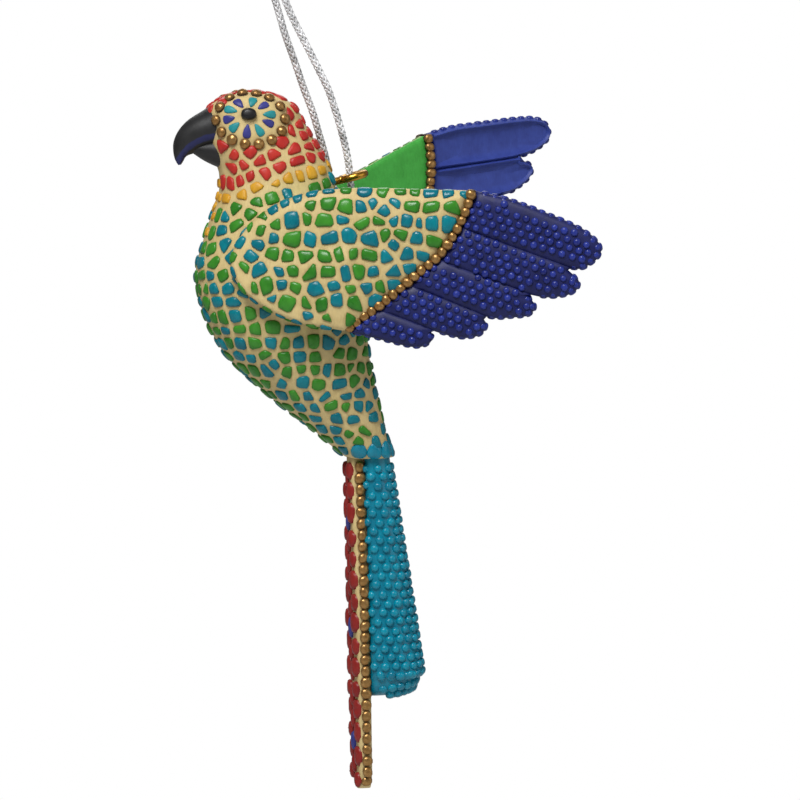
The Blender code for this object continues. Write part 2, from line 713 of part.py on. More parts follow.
        # pin from the body into the coverts' root
        outer = wing.place(PIN_AT[0], PIN_AT[1], -GAP)
        inward = wing.out * -1.0
        end = outer + inward * (PIN_IN_WING + PIN_IN_BODY)
        rod(side + "_wing_pin", outer, end, PIN_DIAMETER, swing, steel, sides=12, bevel=0.15)
        hole = helper(rod(side + "_pin_hole", outer - inward * GAP, end + inward * GAP,
                          PIN_DIAMETER + 2 * GAP, swing, None, sides=12))
        cut(body, hole)
        cut(panel, hole)

    # tail
    tail = long_tail(swing, teal)
    tail_lobe(swing, teal)
    for side, sign in (("left", -1.0), ("right", 1.0)):
        path, normals = [], []
        for i in range(60):
            f = 0.004 + 0.93 * i / 59
            x = tail_front(f) + 0.2 + TAIL_BEAD_WIDTH / 2
            path.append(bird((x, sign * (tail_half(f) + GAP), TAIL_TOP - TAIL_LENGTH * f)))
            normals.append(Vector((0.0, sign, 0.0)))
        bead_strip(side + "_tail_beads", path, normals, TAIL_BEADS, TAIL_BEAD_WIDTH,
                   TAIL_BEAD_PROUD, swing, gold)
    x_top = TAIL_FRONT_TOP + TAIL_THICK / 2
    up = Vector((x_top, 0.0, RUMP + TAIL_WIRE_IN_BODY))
    f = (TAIL_WIRE_LENGTH - TAIL_WIRE_IN_BODY) / TAIL_LENGTH
    down = Vector((tail_front(f) + tail_thick(f) / 2, 0.0, RUMP - TAIL_WIRE_LENGTH
                   + TAIL_WIRE_IN_BODY))
    rod("tail_wire", bird(up), bird(down), TAIL_WIRE_DIAMETER, swing, steel, sides=10)
    d = (down - up).normalized() * GAP
    hole = helper(rod("tail_wire_hole", bird(up - d), bird(down + d),
                      TAIL_WIRE_DIAMETER + 2 * GAP, swing, None, sides=12))
    cut(body, hole)
    cut(tail, hole)

    # cord loop through the ring, and its knot
    mid = Vector(CORD_BEND_AT)
    across = Vector((CORD_BEND_AT[0], CORD_BEND_AT[1], 0.0)).normalized() * CORD_BEND_RADIUS
    bend = []
    for i in range(13):
        a = math.pi * i / 12
        bend.append(mid - across * math.cos(a)
                    + Vector((CORD_BEND_BOW, 0, -CORD_BEND_RADIUS)) * math.sin(a))
    loop = [Vector(p) for p in CORD_THROUGH] + bend + [Vector(p) for p in CORD_BEHIND]
    loop = [p + EYE for p in smooth_path(loop, CORD_DIAMETER * 1.25)]
    tube("hanging_cord", loop, CORD_DIAMETER, hanging, silver)

    sx, sy, sz = KNOT_SIZE
    lift = sz / 2 + GAP + 0.35
    bm = bmesh.new()
    bmesh.ops.create_uvsphere(bm, u_segments=16, v_segments=10, radius=1.0)
    for v in bm.verts:
        groove = 1.0 + 0.08 * math.cos(5 * math.atan2(v.co.y, v.co.x) + 4 * v.co.z)
        v.co = Vector((v.co.x * sx / 2 * groove + KNOT_LEAN * (1 + v.co.z * 0.6),
                       v.co.y * sy / 2 * groove, v.co.z * sz / 2 + lift))
    knot = mesh_object("cord_knot", bm, hanging, silver)
    for i, dx in enumerate((-0.35, 0.35)):
        start = Vector((KNOT_LEAN * 1.2 + dx * 2.2, 0.0, lift + sz * 0.25))
        end = start + Vector((KNOT_LEAN * 0.9 + dx * 2.6, dx, KNOT_ENDS + dx))
        stub = helper(rod("cord_end_%d" % (i + 1), start, end, CORD_DIAMETER, hanging, None,
                          sides=10))
        cut(knot, stub, 'UNION')


build()
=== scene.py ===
"""Hanging clay parrot: painted clay set with mosaic chips, on a screw eye and a silver cord."""
import math
import random

import bmesh
import bpy
from mathutils import Matrix, Vector, noise
from mathutils.bvhtree import BVHTree
from mathutils.kdtree import KDTree


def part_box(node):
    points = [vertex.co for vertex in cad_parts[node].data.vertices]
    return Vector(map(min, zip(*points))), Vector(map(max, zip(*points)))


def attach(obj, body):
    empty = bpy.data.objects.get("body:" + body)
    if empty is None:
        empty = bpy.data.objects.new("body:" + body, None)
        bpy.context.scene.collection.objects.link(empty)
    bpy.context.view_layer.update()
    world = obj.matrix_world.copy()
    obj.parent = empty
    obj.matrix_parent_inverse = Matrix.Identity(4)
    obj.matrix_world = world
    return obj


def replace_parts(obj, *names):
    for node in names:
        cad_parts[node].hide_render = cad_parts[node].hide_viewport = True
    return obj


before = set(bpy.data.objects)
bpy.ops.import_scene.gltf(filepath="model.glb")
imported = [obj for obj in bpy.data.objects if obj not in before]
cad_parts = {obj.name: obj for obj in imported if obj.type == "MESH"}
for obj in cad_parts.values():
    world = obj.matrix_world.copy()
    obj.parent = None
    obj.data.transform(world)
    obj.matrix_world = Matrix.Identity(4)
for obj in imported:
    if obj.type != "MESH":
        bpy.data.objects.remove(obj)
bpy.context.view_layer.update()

MM = 0.001
EYE = Vector((0.0137, 0.0, -0.0341))     # the screw eye, from where the cord strands meet
VIEW_TURN, VIEW_HEIGHT = -12.0, 4.5      # degrees round the bird and above it
VIEW_DISTANCE = 0.6
FLOOR_HEIGHT, FLOOR_RADIUS = -0.30, 3.0


def spot(x, y, z):
    """A point given in millimetres from the screw eye."""
    return EYE + Vector((x, y, z)) * MM


def linear(r, g, b):
    """A paint colour, 0 to 255, as the shader's linear colour."""
    return tuple((c / 255 / 12.92) if c <= 10 else ((c / 255 + 0.055) / 1.055) ** 2.4
                 for c in (r, g, b)) + (1.0,)


# ------------------------------------------------------------------ camera, light, floor
def mix_shaders(tree, amount, first, second):
    mix = tree.nodes.new('ShaderNodeMixShader')
    for socket, value in zip(mix.inputs, (amount, first, second)):
        tree.links.new(value, socket)
    return mix.outputs[0]


def aim(ob, where, target):
    """Stand a lamp or the camera somewhere, looking at the target."""
    ob.location = where
    ob.rotation_mode = 'QUATERNION'
    ob.rotation_quaternion = (target - ob.location).to_track_quat('-Z', 'Y')
    bpy.context.scene.collection.objects.link(ob)


def set_the_room():
    scene = bpy.context.scene
    scene.view_settings.view_transform = 'Standard'
    turn, tip = math.radians(VIEW_TURN), math.radians(VIEW_HEIGHT)
    away = Vector((math.sin(turn) * math.cos(tip), -math.cos(turn) * math.cos(tip),
                   math.sin(tip)))
    right = Vector((math.cos(turn), math.sin(turn), 0.0))
    up = away.cross(right)
    target = EYE + right * 0.00893 - up * 0.0400
    cam = bpy.data.objects.new("camera", bpy.data.cameras.new("camera"))
    cam.data.sensor_width, cam.data.lens = 36.0, 151.2
    cam.data.clip_start = 0.02
    aim(cam, target + away * VIEW_DISTANCE, target)
    scene.camera = cam

    for name, where, size, power in (
            ("key_light", (-0.26, -0.52, 0.58), 0.34, 6.5),
            ("fill_light", (0.60, -0.45, 0.12), 0.60, 0.8),
            ("back_light", (0.10, 0.62, 0.42), 0.50, 1.5),
            ("under_light", (-0.25, -0.35, -0.22), 0.35, 0.05)):
        lamp = bpy.data.lights.new(name, 'AREA')
        lamp.size, lamp.energy = size, power
        aim(bpy.data.objects.new(name, lamp), where, target)

    world = bpy.data.worlds.new("studio")
    world.use_nodes = True
    tree = world.node_tree
    backdrop = tree.nodes["Background"]
    soft = tree.nodes.new('ShaderNodeBackground')
    soft.inputs["Strength"].default_value = 0.18
    backdrop.inputs["Color"].default_value = (1, 1, 1, 1)
    backdrop.inputs["Strength"].default_value = 1.0
    soft.inputs["Color"].default_value = (1.0, 0.99, 0.97, 1)
    rays = tree.nodes.new('ShaderNodeLightPath').outputs["Is Camera Ray"]
    seen = mix_shaders(tree, rays, soft.outputs[0], backdrop.outputs[0])
    tree.links.new(seen, tree.nodes["World Output"].inputs["Surface"])
    scene.world = world

    bm = bmesh.new()
    bmesh.ops.create_circle(bm, cap_ends=True, segments=96, radius=FLOOR_RADIUS)
    bmesh.ops.translate(bm, verts=bm.verts, vec=(0, 0, FLOOR_HEIGHT))
    mesh = bpy.data.meshes.new("floor")
    bm.to_mesh(mesh)
    bm.free()
    floor = bpy.data.objects.new("floor", mesh)
    scene.collection.objects.link(floor)
    mat = bpy.data.materials.new("pale_floor")
    mat.use_nodes = True
    tree = mat.node_tree
    bsdf = tree.nodes["Principled BSDF"]
    bsdf.inputs["Base Color"].default_value = (0.7, 0.7, 0.7, 1)
    bsdf.inputs["Roughness"].default_value = 0.9
    glow = tree.nodes.new('ShaderNodeEmission')
    rays = tree.nodes.new('ShaderNodeLightPath').outputs["Is Camera Ray"]
    lit = mix_shaders(tree, rays, bsdf.outputs[0], glow.outputs[0])
    under = tree.nodes.new('ShaderNodeNewGeometry').outputs["Backfacing"]
    clear = tree.nodes.new('ShaderNodeBsdfTransparent')
    both = mix_shaders(tree, under, lit, clear.outputs[0])
    tree.links.new(both, tree.nodes["Material Output"].inputs["Surface"])
    mesh.materials.append(mat)


# ------------------------------------------------------------------ finishes
class Bench:
    """Lays out one node tree: a material's or a group's."""

    def __init__(self, tree):
        self.tree = tree

    def node(self, kind, values=None, **settings):
        made = self.tree.nodes.new("ShaderNode" + kind)
        for key, value in settings.items():
            setattr(made, key, value)
        for key, value in (values or {}).items():
            self.feed(made.inputs[key], value)
        return made

    def feed(self, socket, value):
        if isinstance(value, bpy.types.NodeSocket):
            self.tree.links.new(value, socket)
        else:
            socket.default_value = value

    def place(self):
        return self.node('TexCoord').outputs["Object"]

    def grain(self, where, scale, detail=3.0, rough=0.55):
        return self.node('TexNoise', {"Vector": where, "Scale": scale, "Detail": detail,
                                      "Roughness": rough}).outputs["Fac"]

    def ramp(self, value, low, high, to_low=0.0, to_high=1.0, kind='LINEAR'):
        made = self.node('MapRange', {"Value": value, "From Min": low, "From Max": high,
                                      "To Min": to_low, "To Max": to_high})
        made.interpolation_type = kind
        return made.outputs["Result"]

    def sum(self, kind, a, b, third=None):
        made = self.node('Math', operation=kind)
        self.feed(made.inputs[0], a)
        self.feed(made.inputs[1], b)
        if third is not None:
            self.feed(made.inputs[2], third)
        return made.outputs[0]

    def blend(self, amount, a, b, kind='MIX'):
        made = self.node('Mix', data_type='RGBA', blend_type=kind)
        self.feed(made.inputs["Factor"], amount)
        self.feed(made.inputs["A"], a)
        self.feed(made.inputs["B"], b)
        return made.outputs["Result"]

    def mark(self, name):
        return self.node('Attribute', attribute_name=name).outputs["Fac"]


def new_group(name, inputs, outputs):
    tree = bpy.data.node_groups.new(name, 'ShaderNodeTree')
    for title, kind, value in inputs:
        socket = tree.interface.new_socket(title, in_out='INPUT', socket_type="NodeSocket" + kind)
        if value is not None:
            socket.default_value = value
    for title, kind in outputs:
        tree.interface.new_socket(title, in_out='OUTPUT', socket_type="NodeSocket" + kind)
    bench = Bench(tree)
    take, give = tree.nodes.new('NodeGroupInput'), tree.nodes.new('NodeGroupOutput')
    return bench, take.outputs, give.inputs


def brushed_paint_group():
    """Hand-brushed acrylic: blotches where it went on thick, fine brush drag, and a painted highlight
    that lightens each lump's crown and leaves its rim darker.
    """
    bench, take, give = new_group(
        "brushed_paint",
        [("Paint", 'Color', (0.5, 0.5, 0.5, 1)), ("Light Paint", 'Color', (0.6, 0.6, 0.6, 1)),
         ("Gloss", 'Float', 0.35), ("Drag", 'Float', 1.0), ("Crown", 'Float', 0.2)],
        [("Color", 'Color'), ("Roughness", 'Float'), ("Height", 'Float')])
    where = bench.place()
    blotch = bench.grain(where, 420.0, 2.0)
    drag = bench.node('Mapping', {"Vector": where, "Scale": (1.0, 1.0, 0.35)}).outputs[0]
    streak = bench.grain(drag, 2600.0, 3.0, 0.6)
    each = bench.mark("tint")
    thick = bench.sum('MULTIPLY_ADD', each, 0.45, bench.ramp(blotch, 0.3, 0.7, 0.0, 0.55))
    # each lump's crown is mixed toward Light Paint: a painted highlight on its top, so its foot reads
    # darker
    crown = bench.mark("crown")
    thick = bench.sum('MULTIPLY_ADD', bench.ramp(crown, 0.3, 1.0), take["Crown"], thick)
    color = bench.blend(thick, take["Paint"], take["Light Paint"])
    dark = bench.ramp(streak, 0.25, 0.6, 0.86, 1.0)
    shade = bench.node('CombineColor', {"Red": dark, "Green": dark, "Blue": dark}).outputs[0]
    bench.feed(give["Color"], bench.blend(1.0, color, shade, 'MULTIPLY'))
    uneven = bench.sum('MULTIPLY_ADD', blotch, 0.22, bench.sum('ADD', take["Gloss"], -0.11))
    bench.feed(give["Roughness"], uneven)
    height = bench.sum('MULTIPLY_ADD', streak, 0.35, bench.sum('MULTIPLY', blotch, 0.9))
    bench.feed(give["Height"], bench.sum('MULTIPLY', height, take["Drag"]))
    return bench.tree


def antique_wash_group():
    """Gold paint with a dark wash left in the low places and rubbed off the crowns."""
    bench, take, give = new_group(
        "antique_wash",
        [("Gold", 'Color', (0.5, 0.3, 0.1, 1)), ("Wash", 'Color', (0.05, 0.03, 0.01, 1)),
         ("Rubbed", 'Float', 0.5)],
        [("Color", 'Color'), ("Roughness", 'Float'), ("Metal", 'Float'), ("Height", 'Float')])
    where = bench.place()
    crown = bench.mark("crown")
    speck = bench.grain(where, 1500.0, 3.0)
    edge = bench.sum('MULTIPLY_ADD', speck, 0.5, bench.sum('ADD', crown, -0.25))
    clean = bench.ramp(edge, 0.02, take["Rubbed"], 0.0, 1.0, 'SMOOTHSTEP')
    tone = bench.blend(bench.ramp(speck, 0.35, 0.7), take["Gold"], (0.50, 0.30, 0.11, 1))
    tone = bench.blend(bench.sum('MULTIPLY', bench.mark("tint"), 0.35), tone,
                       (0.30, 0.16, 0.05, 1))
    bench.feed(give["Color"], bench.blend(clean, take["Wash"], tone))
    bench.feed(give["Roughness"], bench.ramp(clean, 0.0, 1.0, 0.62, 0.34))
    bench.feed(give["Metal"], bench.ramp(clean, 0.0, 1.0, 0.15, 0.72))
    bench.feed(give["Height"], speck)
    return bench.tree


def finish_shell(name):
    mat = bpy.data.materials.new(name)
    mat.use_nodes = True
    bench = Bench(mat.node_tree)
    return mat, bench, mat.node_tree.nodes["Principled BSDF"]


def bump(bench, bsdf, height, depth_mm):
    made = bench.node('Bump', {"Distance": depth_mm * MM, "Height": height})
    bench.feed(bsdf.inputs["Normal"], made.outputs["Normal"])


def coat_of_paint(bench, dark, light, gloss, drag=1.0, crown=0.2):
    # crown sets how strongly the paint lightens each lump's top: a painted highlight
    return bench.node('Group', {"Paint": linear(*dark), "Light Paint": linear(*light),
                                "Gloss": gloss, "Drag": drag, "Crown": crown},
                      node_tree=GROUPS["paint"])


def paint(name, dark, light, gloss, drag=1.0, depth=0.035, coat=0.0, crown=0.2):
    mat, bench, bsdf = finish_shell(name)
    layer = coat_of_paint(bench, dark, light, gloss, drag, crown)
    bench.feed(bsdf.inputs["Base Color"], layer.outputs["Color"])
    bench.feed(bsdf.inputs["Roughness"], layer.outputs["Roughness"])
    bsdf.inputs["Specular IOR Level"].default_value = 0.36
    bsdf.inputs["Coat Weight"].default_value = coat
    bsdf.inputs["Coat Roughness"].default_value = 0.25
    bump(bench, bsdf, layer.outputs["Height"], depth)
    return mat


def clay_finish():
    """Cream clay with painted shade darkening its crevices, and the wings' green inner faces."""
    mat, bench, bsdf = finish_shell("cream_clay")
    layer = coat_of_paint(bench, (220, 195, 134), (238, 216, 158), 0.58, 0.35)
    green = coat_of_paint(bench, (64, 164, 62), (80, 186, 80), 0.55, 0.6)
    # ambient occlusion mixes the cream toward brown in crevices and round the chips: painted shade
    hollow = bench.node('AmbientOcclusion', {"Distance": 0.0012}, samples=6).outputs["AO"]
    crevice_shade = bench.ramp(hollow, 0.3, 0.97, 0.8, 0.0)
    cream = bench.blend(crevice_shade, layer.outputs["Color"], linear(128, 92, 50))
    inside = bench.ramp(bench.mark("wing_inside"), 0.35, 0.65)
    bench.feed(bsdf.inputs["Base Color"], bench.blend(inside, cream, green.outputs["Color"]))
    bench.feed(bsdf.inputs["Roughness"], bench.ramp(inside, 0.0, 1.0, 0.55, 0.5))
    bsdf.inputs["Specular IOR Level"].default_value = 0.3
    fine = bench.grain(bench.place(), 5200.0, 2.0)
    bump(bench, bsdf, bench.sum('MULTIPLY_ADD', fine, 0.5, layer.outputs["Height"]), 0.04)
    return mat


def gold_finish(name):
    mat, bench, bsdf = finish_shell(name)
    layer = bench.node('Group', {"Gold": linear(158, 114, 60), "Wash": linear(48, 32, 17),
                                 "Rubbed": 0.72}, node_tree=GROUPS["wash"])
    for key, out in (("Base Color", "Color"), ("Roughness", "Roughness"), ("Metallic", "Metal")):
        bench.feed(bsdf.inputs[key], layer.outputs[out])
    bump(bench, bsdf, layer.outputs["Height"], 0.05)
    return mat


def beak_finish():
    """Satin black with a navy stroke of paint that follows the hook."""
    mat, bench, bsdf = finish_shell("beak_black")
    layer = coat_of_paint(bench, (26, 26, 27), (40, 40, 42), 0.50)
    # the stroke is part of an oval that is a little longer than it is high
    centre, stretch, stroke_radius = spot(-24.2, 0.0, 0.4), 1.07, 0.0067
    where = bench.node('Mapping', {
        "Vector": bench.place(), "Location": (-centre.x / stretch, 0.0, -centre.z),
        "Scale": (1 / stretch, 0.0, 1.0)}, vector_type='POINT')
    reach = bench.node('VectorMath', {0: where.outputs[0]}, operation='LENGTH').outputs["Value"]
    off = bench.sum('ABSOLUTE', bench.sum('ADD', reach, -stroke_radius), 0.0)
    ragged = bench.grain(bench.place(), 900.0, 2.0)
    edge = bench.sum('MULTIPLY_ADD', ragged, 0.0004, off)
    stroke = bench.ramp(edge, 0.00055, 0.00085, 1.0, 0.0, 'SMOOTHSTEP')
    bench.feed(bsdf.inputs["Base Color"],
               bench.blend(stroke, layer.outputs["Color"], linear(30, 36, 92)))
    bench.feed(bsdf.inputs["Roughness"], layer.outputs["Roughness"])
    bump(bench, bsdf, layer.outputs["Height"], 0.04)
    return mat


def wire_finish(name, color, rough, metal=1.0):
    mat, bench, bsdf = finish_shell(name)
    where = bench.place()
    scuff = bench.grain(where, 1800.0, 4.0, 0.7)
    dull = bench.grain(where, 500.0, 2.0)
    base, dark = linear(*color), linear(*[c * 0.66 for c in color])
    bench.feed(bsdf.inputs["Base Color"], bench.blend(bench.ramp(dull, 0.35, 0.7), base, dark))
    bench.feed(bsdf.inputs["Roughness"], bench.ramp(scuff, 0.3, 0.8, rough, rough + 0.18))
    bsdf.inputs["Metallic"].default_value = metal
    bump(bench, bsdf, scuff, 0.012)
    return mat


PAINTS = (
    ("red", "red_paint", (176, 32, 32), (202, 54, 44), 0.40),
    # the tail's red is the red paint darkened: painted shade for the tail front, which faces away from
    # the light
    ("tail_red", "tail_red_paint", (130, 24, 24), (156, 42, 36), 0.40),
    ("yellow", "yellow_paint", (208, 146, 26), (228, 172, 48), 0.42),
    ("green", "green_paint", (32, 108, 26), (66, 150, 44), 0.30),
    ("teal", "teal_paint", (0, 94, 112), (0, 134, 148), 0.28),
    ("indigo", "indigo_paint", (46, 50, 122), (66, 68, 146), 0.42),
    ("cyan", "cyan_paint", (22, 130, 140), (48, 156, 160), 0.42),
    ("feather", "feather_blue", (18, 24, 80), (30, 38, 110), 0.50),
    ("feather_inner", "feather_blue_smooth", (46, 62, 142), (64, 84, 172), 0.50, 0.5),
    ("dots", "dot_blue", (22, 30, 100), (44, 60, 156), 0.28),
    # the lobe's last value is its crown setting: a faint painted highlight on the knob tops
    ("lobe", "lobe_teal", (0, 118, 146), (0, 154, 180), 0.26, 1.0, 0.04, 0.2, 0.04),
    ("black", "eye_black", (20, 20, 21), (32, 32, 33), 0.40))
WIRES = (
    ("brass", "brass_wire", (214, 160, 62), 0.20),
    ("steel", "steel_wire", (160, 160, 165), 0.35),
    ("silver", "silver_yarn", (250, 250, 252), 0.34, 0.12),
    ("core", "cord_core", (176, 180, 190), 0.6, 0.1))
GROUPS, FINISH = {}, {}


def make_finishes():
    GROUPS.update(paint=brushed_paint_group(), wash=antique_wash_group())
    FINISH.update({key: paint(*coat) for key, *coat in PAINTS})
    FINISH.update({key: wire_finish(*metal) for key, *metal in WIRES})
    FINISH.update(clay=clay_finish(), beak=beak_finish(), gold=gold_finish("antique_gold"))



# ------------------------------------------------------------------ shared measures
def ease(k):
    """A smooth step from 0 to 1."""
    k = min(max(k, 0.0), 1.0)
    return k * k * (3 - 2 * k)


def around(count, shift=0.0):
    """Cosine and sine of even steps round a circle."""
    for j in range(count):
        a = 2 * math.pi * (j + shift) / count
        yield math.cos(a), math.sin(a)


def squared(c, s, power):
    """How far out a rounded square reaches in a direction; power 2 is a circle."""
    return (abs(c) ** power + abs(s) ** power) ** (-1 / power)


def disc(centre, u, v, r, count):
    return [centre + (u * r * c + v * r * s) * MM for c, s in around(count)]


def middle_of(points):
    return (sum(p[0] for p in points) / len(points), sum(p[1] for p in points) / len(points))


def nearest_gap(p, points):
    return min(math.hypot(p[0] - b[0], p[1] - b[1]) for b in points)


# ------------------------------------------------------------------ making pieces
def piece(name, bm, finish, body="bird", smooth=50.0, flip_fix=True):
    """Finish a bmesh made in metres as a piece that rides on a body."""
    if flip_fix:
        bmesh.ops.recalc_face_normals(bm, faces=bm.faces)
    mesh = bpy.data.meshes.new(name)
    bm.to_mesh(mesh)
    bm.free()
    mesh.shade_smooth()
    mesh.set_sharp_from_angle(angle=math.radians(smooth))
    ob = bpy.data.objects.new(name, mesh)
    bpy.context.collection.objects.link(ob)
    for part in (finish if isinstance(finish, (list, tuple)) else [finish]):
        mesh.materials.append(FINISH[part])
    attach(ob, body)
    return ob


def bridge_rings(bm, rings):
    """Skin closed rings of points with the bridge operator, and cap both ends.

    The edges are kept in order, so the skin comes out the same on every run."""
    loops = []
    for points in rings:
        made = bmesh.ops.create_circle(bm, segments=len(points), radius=1.0)["verts"]
        for vert, p in zip(made, points):
            vert.co = p
        loops.append(list(dict.fromkeys(e for v in made for e in v.link_edges)))
    for a, b in zip(loops, loops[1:]):
        bmesh.ops.bridge_loops(bm, edges=a + b)
    bmesh.ops.edgeloop_fill(bm, edges=loops[0])
    bmesh.ops.edgeloop_fill(bm, edges=loops[-1])


def curve_through(points, step):
    """Smooth curve through points, even steps about so long, in the points' units."""
    pts = [Vector(p) for p in points]
    pts = [pts[0] * 2 - pts[1]] + pts + [pts[-1] * 2 - pts[-2]]
    fine = []
    for k in range(1, len(pts) - 2):
        p0, p1, p2, p3 = pts[k - 1:k + 3]
        for i in range(24):
            t = i / 24
            fine.append(0.5 * ((2 * p1) + (p2 - p0) * t + (2 * p0 - 5 * p1 + 4 * p2 - p3) * t * t
                               + (3 * p1 - p0 - 3 * p2 + p3) * t ** 3))
    fine.append(pts[-2])
    return even_steps(fine, step=step)


def even_steps(line, step=None, count=None):
    total = sum((b - a).length for a, b in zip(line, line[1:]))
    count = count or max(2, round(total / step))
    out, run, want = [line[0].copy()], 0.0, 1
    for a, b in zip(line, line[1:]):
        d = (b - a).length
        while want < count and run + d >= total * want / count:
            out.append(a.lerp(b, (total * want / count - run) / d))
            want += 1
        run += d
    out.append(line[-1].copy())
    return out


# each lump's shape: shares of its outline's width and of its height, from the foot up
DOME = ((1.0, 0.36), (0.86, 0.76), (0.50, 0.96))
BEAD = ((1.10, 0.30), (1.06, 0.56), (0.84, 0.82), (0.45, 0.97))
DROP = ((0.98, 0.34), (0.80, 0.72), (0.46, 0.94))
PUPIL = ((1.0, 0.35), (0.95, 0.6), (0.82, 0.82), (0.58, 0.95), (0.3, 0.99))
STUD = ((1.02, 0.25), (0.98, 0.5), (0.78, 0.74), (0.5, 0.84), (0.32, 0.96))


def lump_piece(name, lumps, finish, profile=DOME, sink=0.15):
    """Raise a lump on each outline: (outline, centre, normal, height, tint), in metres."""
    bm = bmesh.new()
    # crown runs from 0 at a lump's foot to 1 at its tip; the paints use it for a painted highlight on
    # the tip, the gold for where its wash is rubbed off
    for title in ("crown", "tint"):
        bm.verts.layers.float.new(title)
    which = bm.faces.layers.int.new("lump")
    crown, tint = bm.verts.layers.float["crown"], bm.verts.layers.float["tint"]
    tops = []
    for index, (outline, centre, normal, height, shade) in enumerate(lumps):
        made = [bm.verts.new(p - normal * sink * MM) for p in outline]
        for v in made:
            v[tint] = shade
        face = bm.faces.new(made)
        face[which] = index
        tops.append(face)
    before = [(1.0, 0.0)] + list(profile)
    for (k0, h0), (k1, h1) in zip(before, profile):
        tops = bmesh.ops.extrude_discrete_faces(bm, faces=tops)["faces"]
        for face in tops:
            _, centre, normal, height, shade = lumps[face[which]]
            low = centre + normal * height * h0
            rise = height * (h1 - h0) + (sink * MM if h0 == 0.0 else 0.0)
            if h0 == 0.0:
                low = centre - normal * sink * MM
            for v in face.verts:
                v.co = low + (v.co - low) * (k1 / k0) + normal * rise
                v[crown] = h1
    tips = bmesh.ops.poke(bm, faces=tops, offset=0.0)["verts"]
    for v in tips:
        _, centre, normal, height, shade = lumps[v.link_faces[0][which]]
        v.co = centre + normal * height
        v[crown] = 1.0
        v[tint] = shade
    bmesh.ops.holes_fill(bm, edges=[e for e in bm.edges if e.is_boundary])
    return piece(name, bm, finish)


def axes_on(normal, along):
    """Two directions across a surface, the first near `along`."""
    u = (along - normal * along.dot(normal)).normalized()
    return u, normal.cross(u).normalized()


# ------------------------------------------------------------------ the body's form
STATIONS = ((10.0, -26.0, -8.8, 6.9), (7.5, -25.8, -7.3, 7.3), (5.0, -25.3, -5.7, 7.7),
            (2.9, -24.4, -4.5, 8.1), (1.0, -23.6, -3.6, 8.5), (-2.5, -23.5, -2.7, 9.3),
            (-9.6, -25.8, -0.5, 11.2), (-16.8, -27.7, 1.3, 12.3), (-23.9, -26.5, 2.5, 12.0),
            (-31.1, -22.9, 3.1, 10.7), (-38.2, -15.8, 4.5, 8.8), (-45.4, -6.8, 6.2, 6.7),
            (-50.4, -0.9, 7.9, 5.2))
HEAD_TOP, RUMP, CROWN, ROUNDNESS = 10.0, -50.4, 5.0, 2.25


def station(z):
    """Smooth middle, half depth and half breadth of the body at a height."""
    rows = STATIONS
    z0 = min(max(z, RUMP), HEAD_TOP)
    k = 0
    while k < len(rows) - 2 and rows[k + 1][0] > z0:
        k += 1

    def slope(i, c):
        a, b = max(i - 1, 0), min(i + 1, len(rows) - 1)
        return (rows[b][c] - rows[a][c]) / (rows[b][0] - rows[a][0])
    h = rows[k + 1][0] - rows[k][0]
    t = (z0 - rows[k][0]) / h
    front, back, half = [
        (2 * t**3 - 3 * t**2 + 1) * rows[k][c] + (t**3 - 2 * t**2 + t) * slope(k, c) * h
        + (3 * t**2 - 2 * t**3) * rows[k + 1][c] + (t**3 - t**2) * slope(k + 1, c) * h
        for c in (1, 2, 3)]
    middle, depth = (front + back) / 2, (back - front) / 2
    if z > HEAD_TOP:
        t = min((z - HEAD_TOP) / CROWN, 1.0)
        middle -= 0.35 * (1 - (1 - t) ** 2)
        depth *= math.sqrt(max(1 - t * t, 0))
        half *= max(1 - t ** 2.6, 0) ** (1 / 2.6)
    return middle, depth, half


def girth_ring(z, sides):
    middle, depth, half = station(z)
    ring = []
    for c, s in around(sides):
        k = squared(c, s, ROUNDNESS)
        ring.append(spot(middle + depth * k * c, half * k * s, z))
    return ring


def outside_by(p):
    """How far out of the body's section a point is: 1 is on the skin."""
    q = (p - EYE) / MM
    if q.z > HEAD_TOP + CROWN or q.z < RUMP:
        return 9.0
    middle, depth, half = station(q.z)
    return ((abs(q.x - middle) / max(depth, 0.1)) ** ROUNDNESS
            + (abs(q.y) / max(half, 0.1)) ** ROUNDNESS) ** (1 / ROUNDNESS)


# ------------------------------------------------------------------ the wings' plan
SPLAY, PIVOT_UP = math.radians(18.0), -14.0
COVERT_TOP = ((31.9, -2.3), (25.0, -2.1), (17.0, -1.9), (9.0, -2.0), (3.0, -2.7),
              (-3.0, -5.0), (-7.5, -8.6), (-10.2, -13.0), (-10.2, -16.5), (-8.0, -20.0),
              (-3.5, -23.2), (2.0, -25.4), (9.7, -26.7))
BAND = ((32.1, -2.3), (30.7, -6.5), (28.6, -10.5), (26.0, -14.0), (22.5, -16.9),
        (19.0, -19.9), (15.5, -22.7), (12.0, -25.2), (9.9, -26.8))
FEATHER_TIPS = (
    ((43.5, -5.7), (51.0, -9.0), (54.0, -12.3), (52.0, -15.0), (47.6, -15.1)),
    ((48.2, -15.9), (50.2, -17.9), (49.6, -19.6), (46.6, -20.6), (41.0, -19.8)),
    ((41.4, -20.5), (42.6, -22.2), (41.6, -23.8), (38.8, -24.2), (33.5, -23.7)),
    ((33.6, -24.4), (34.2, -25.8), (32.8, -27.4), (29.6, -27.8), (24.6, -26.3)),
    ((24.4, -27.0), (24.8, -28.0), (23.6, -29.2), (20.8, -29.4), (13.6, -27.7)))
FEATHER_HALF = 1.3
DOT_PITCH, DOT_ROWS = 1.72, 1.34
COVERT_OUT, COVERT_IN, COVERT_SWELL, ROOT_DEPTH = 0.9, -1.1, 1.8, 4.0
CLAY_VOXEL = 0.0004


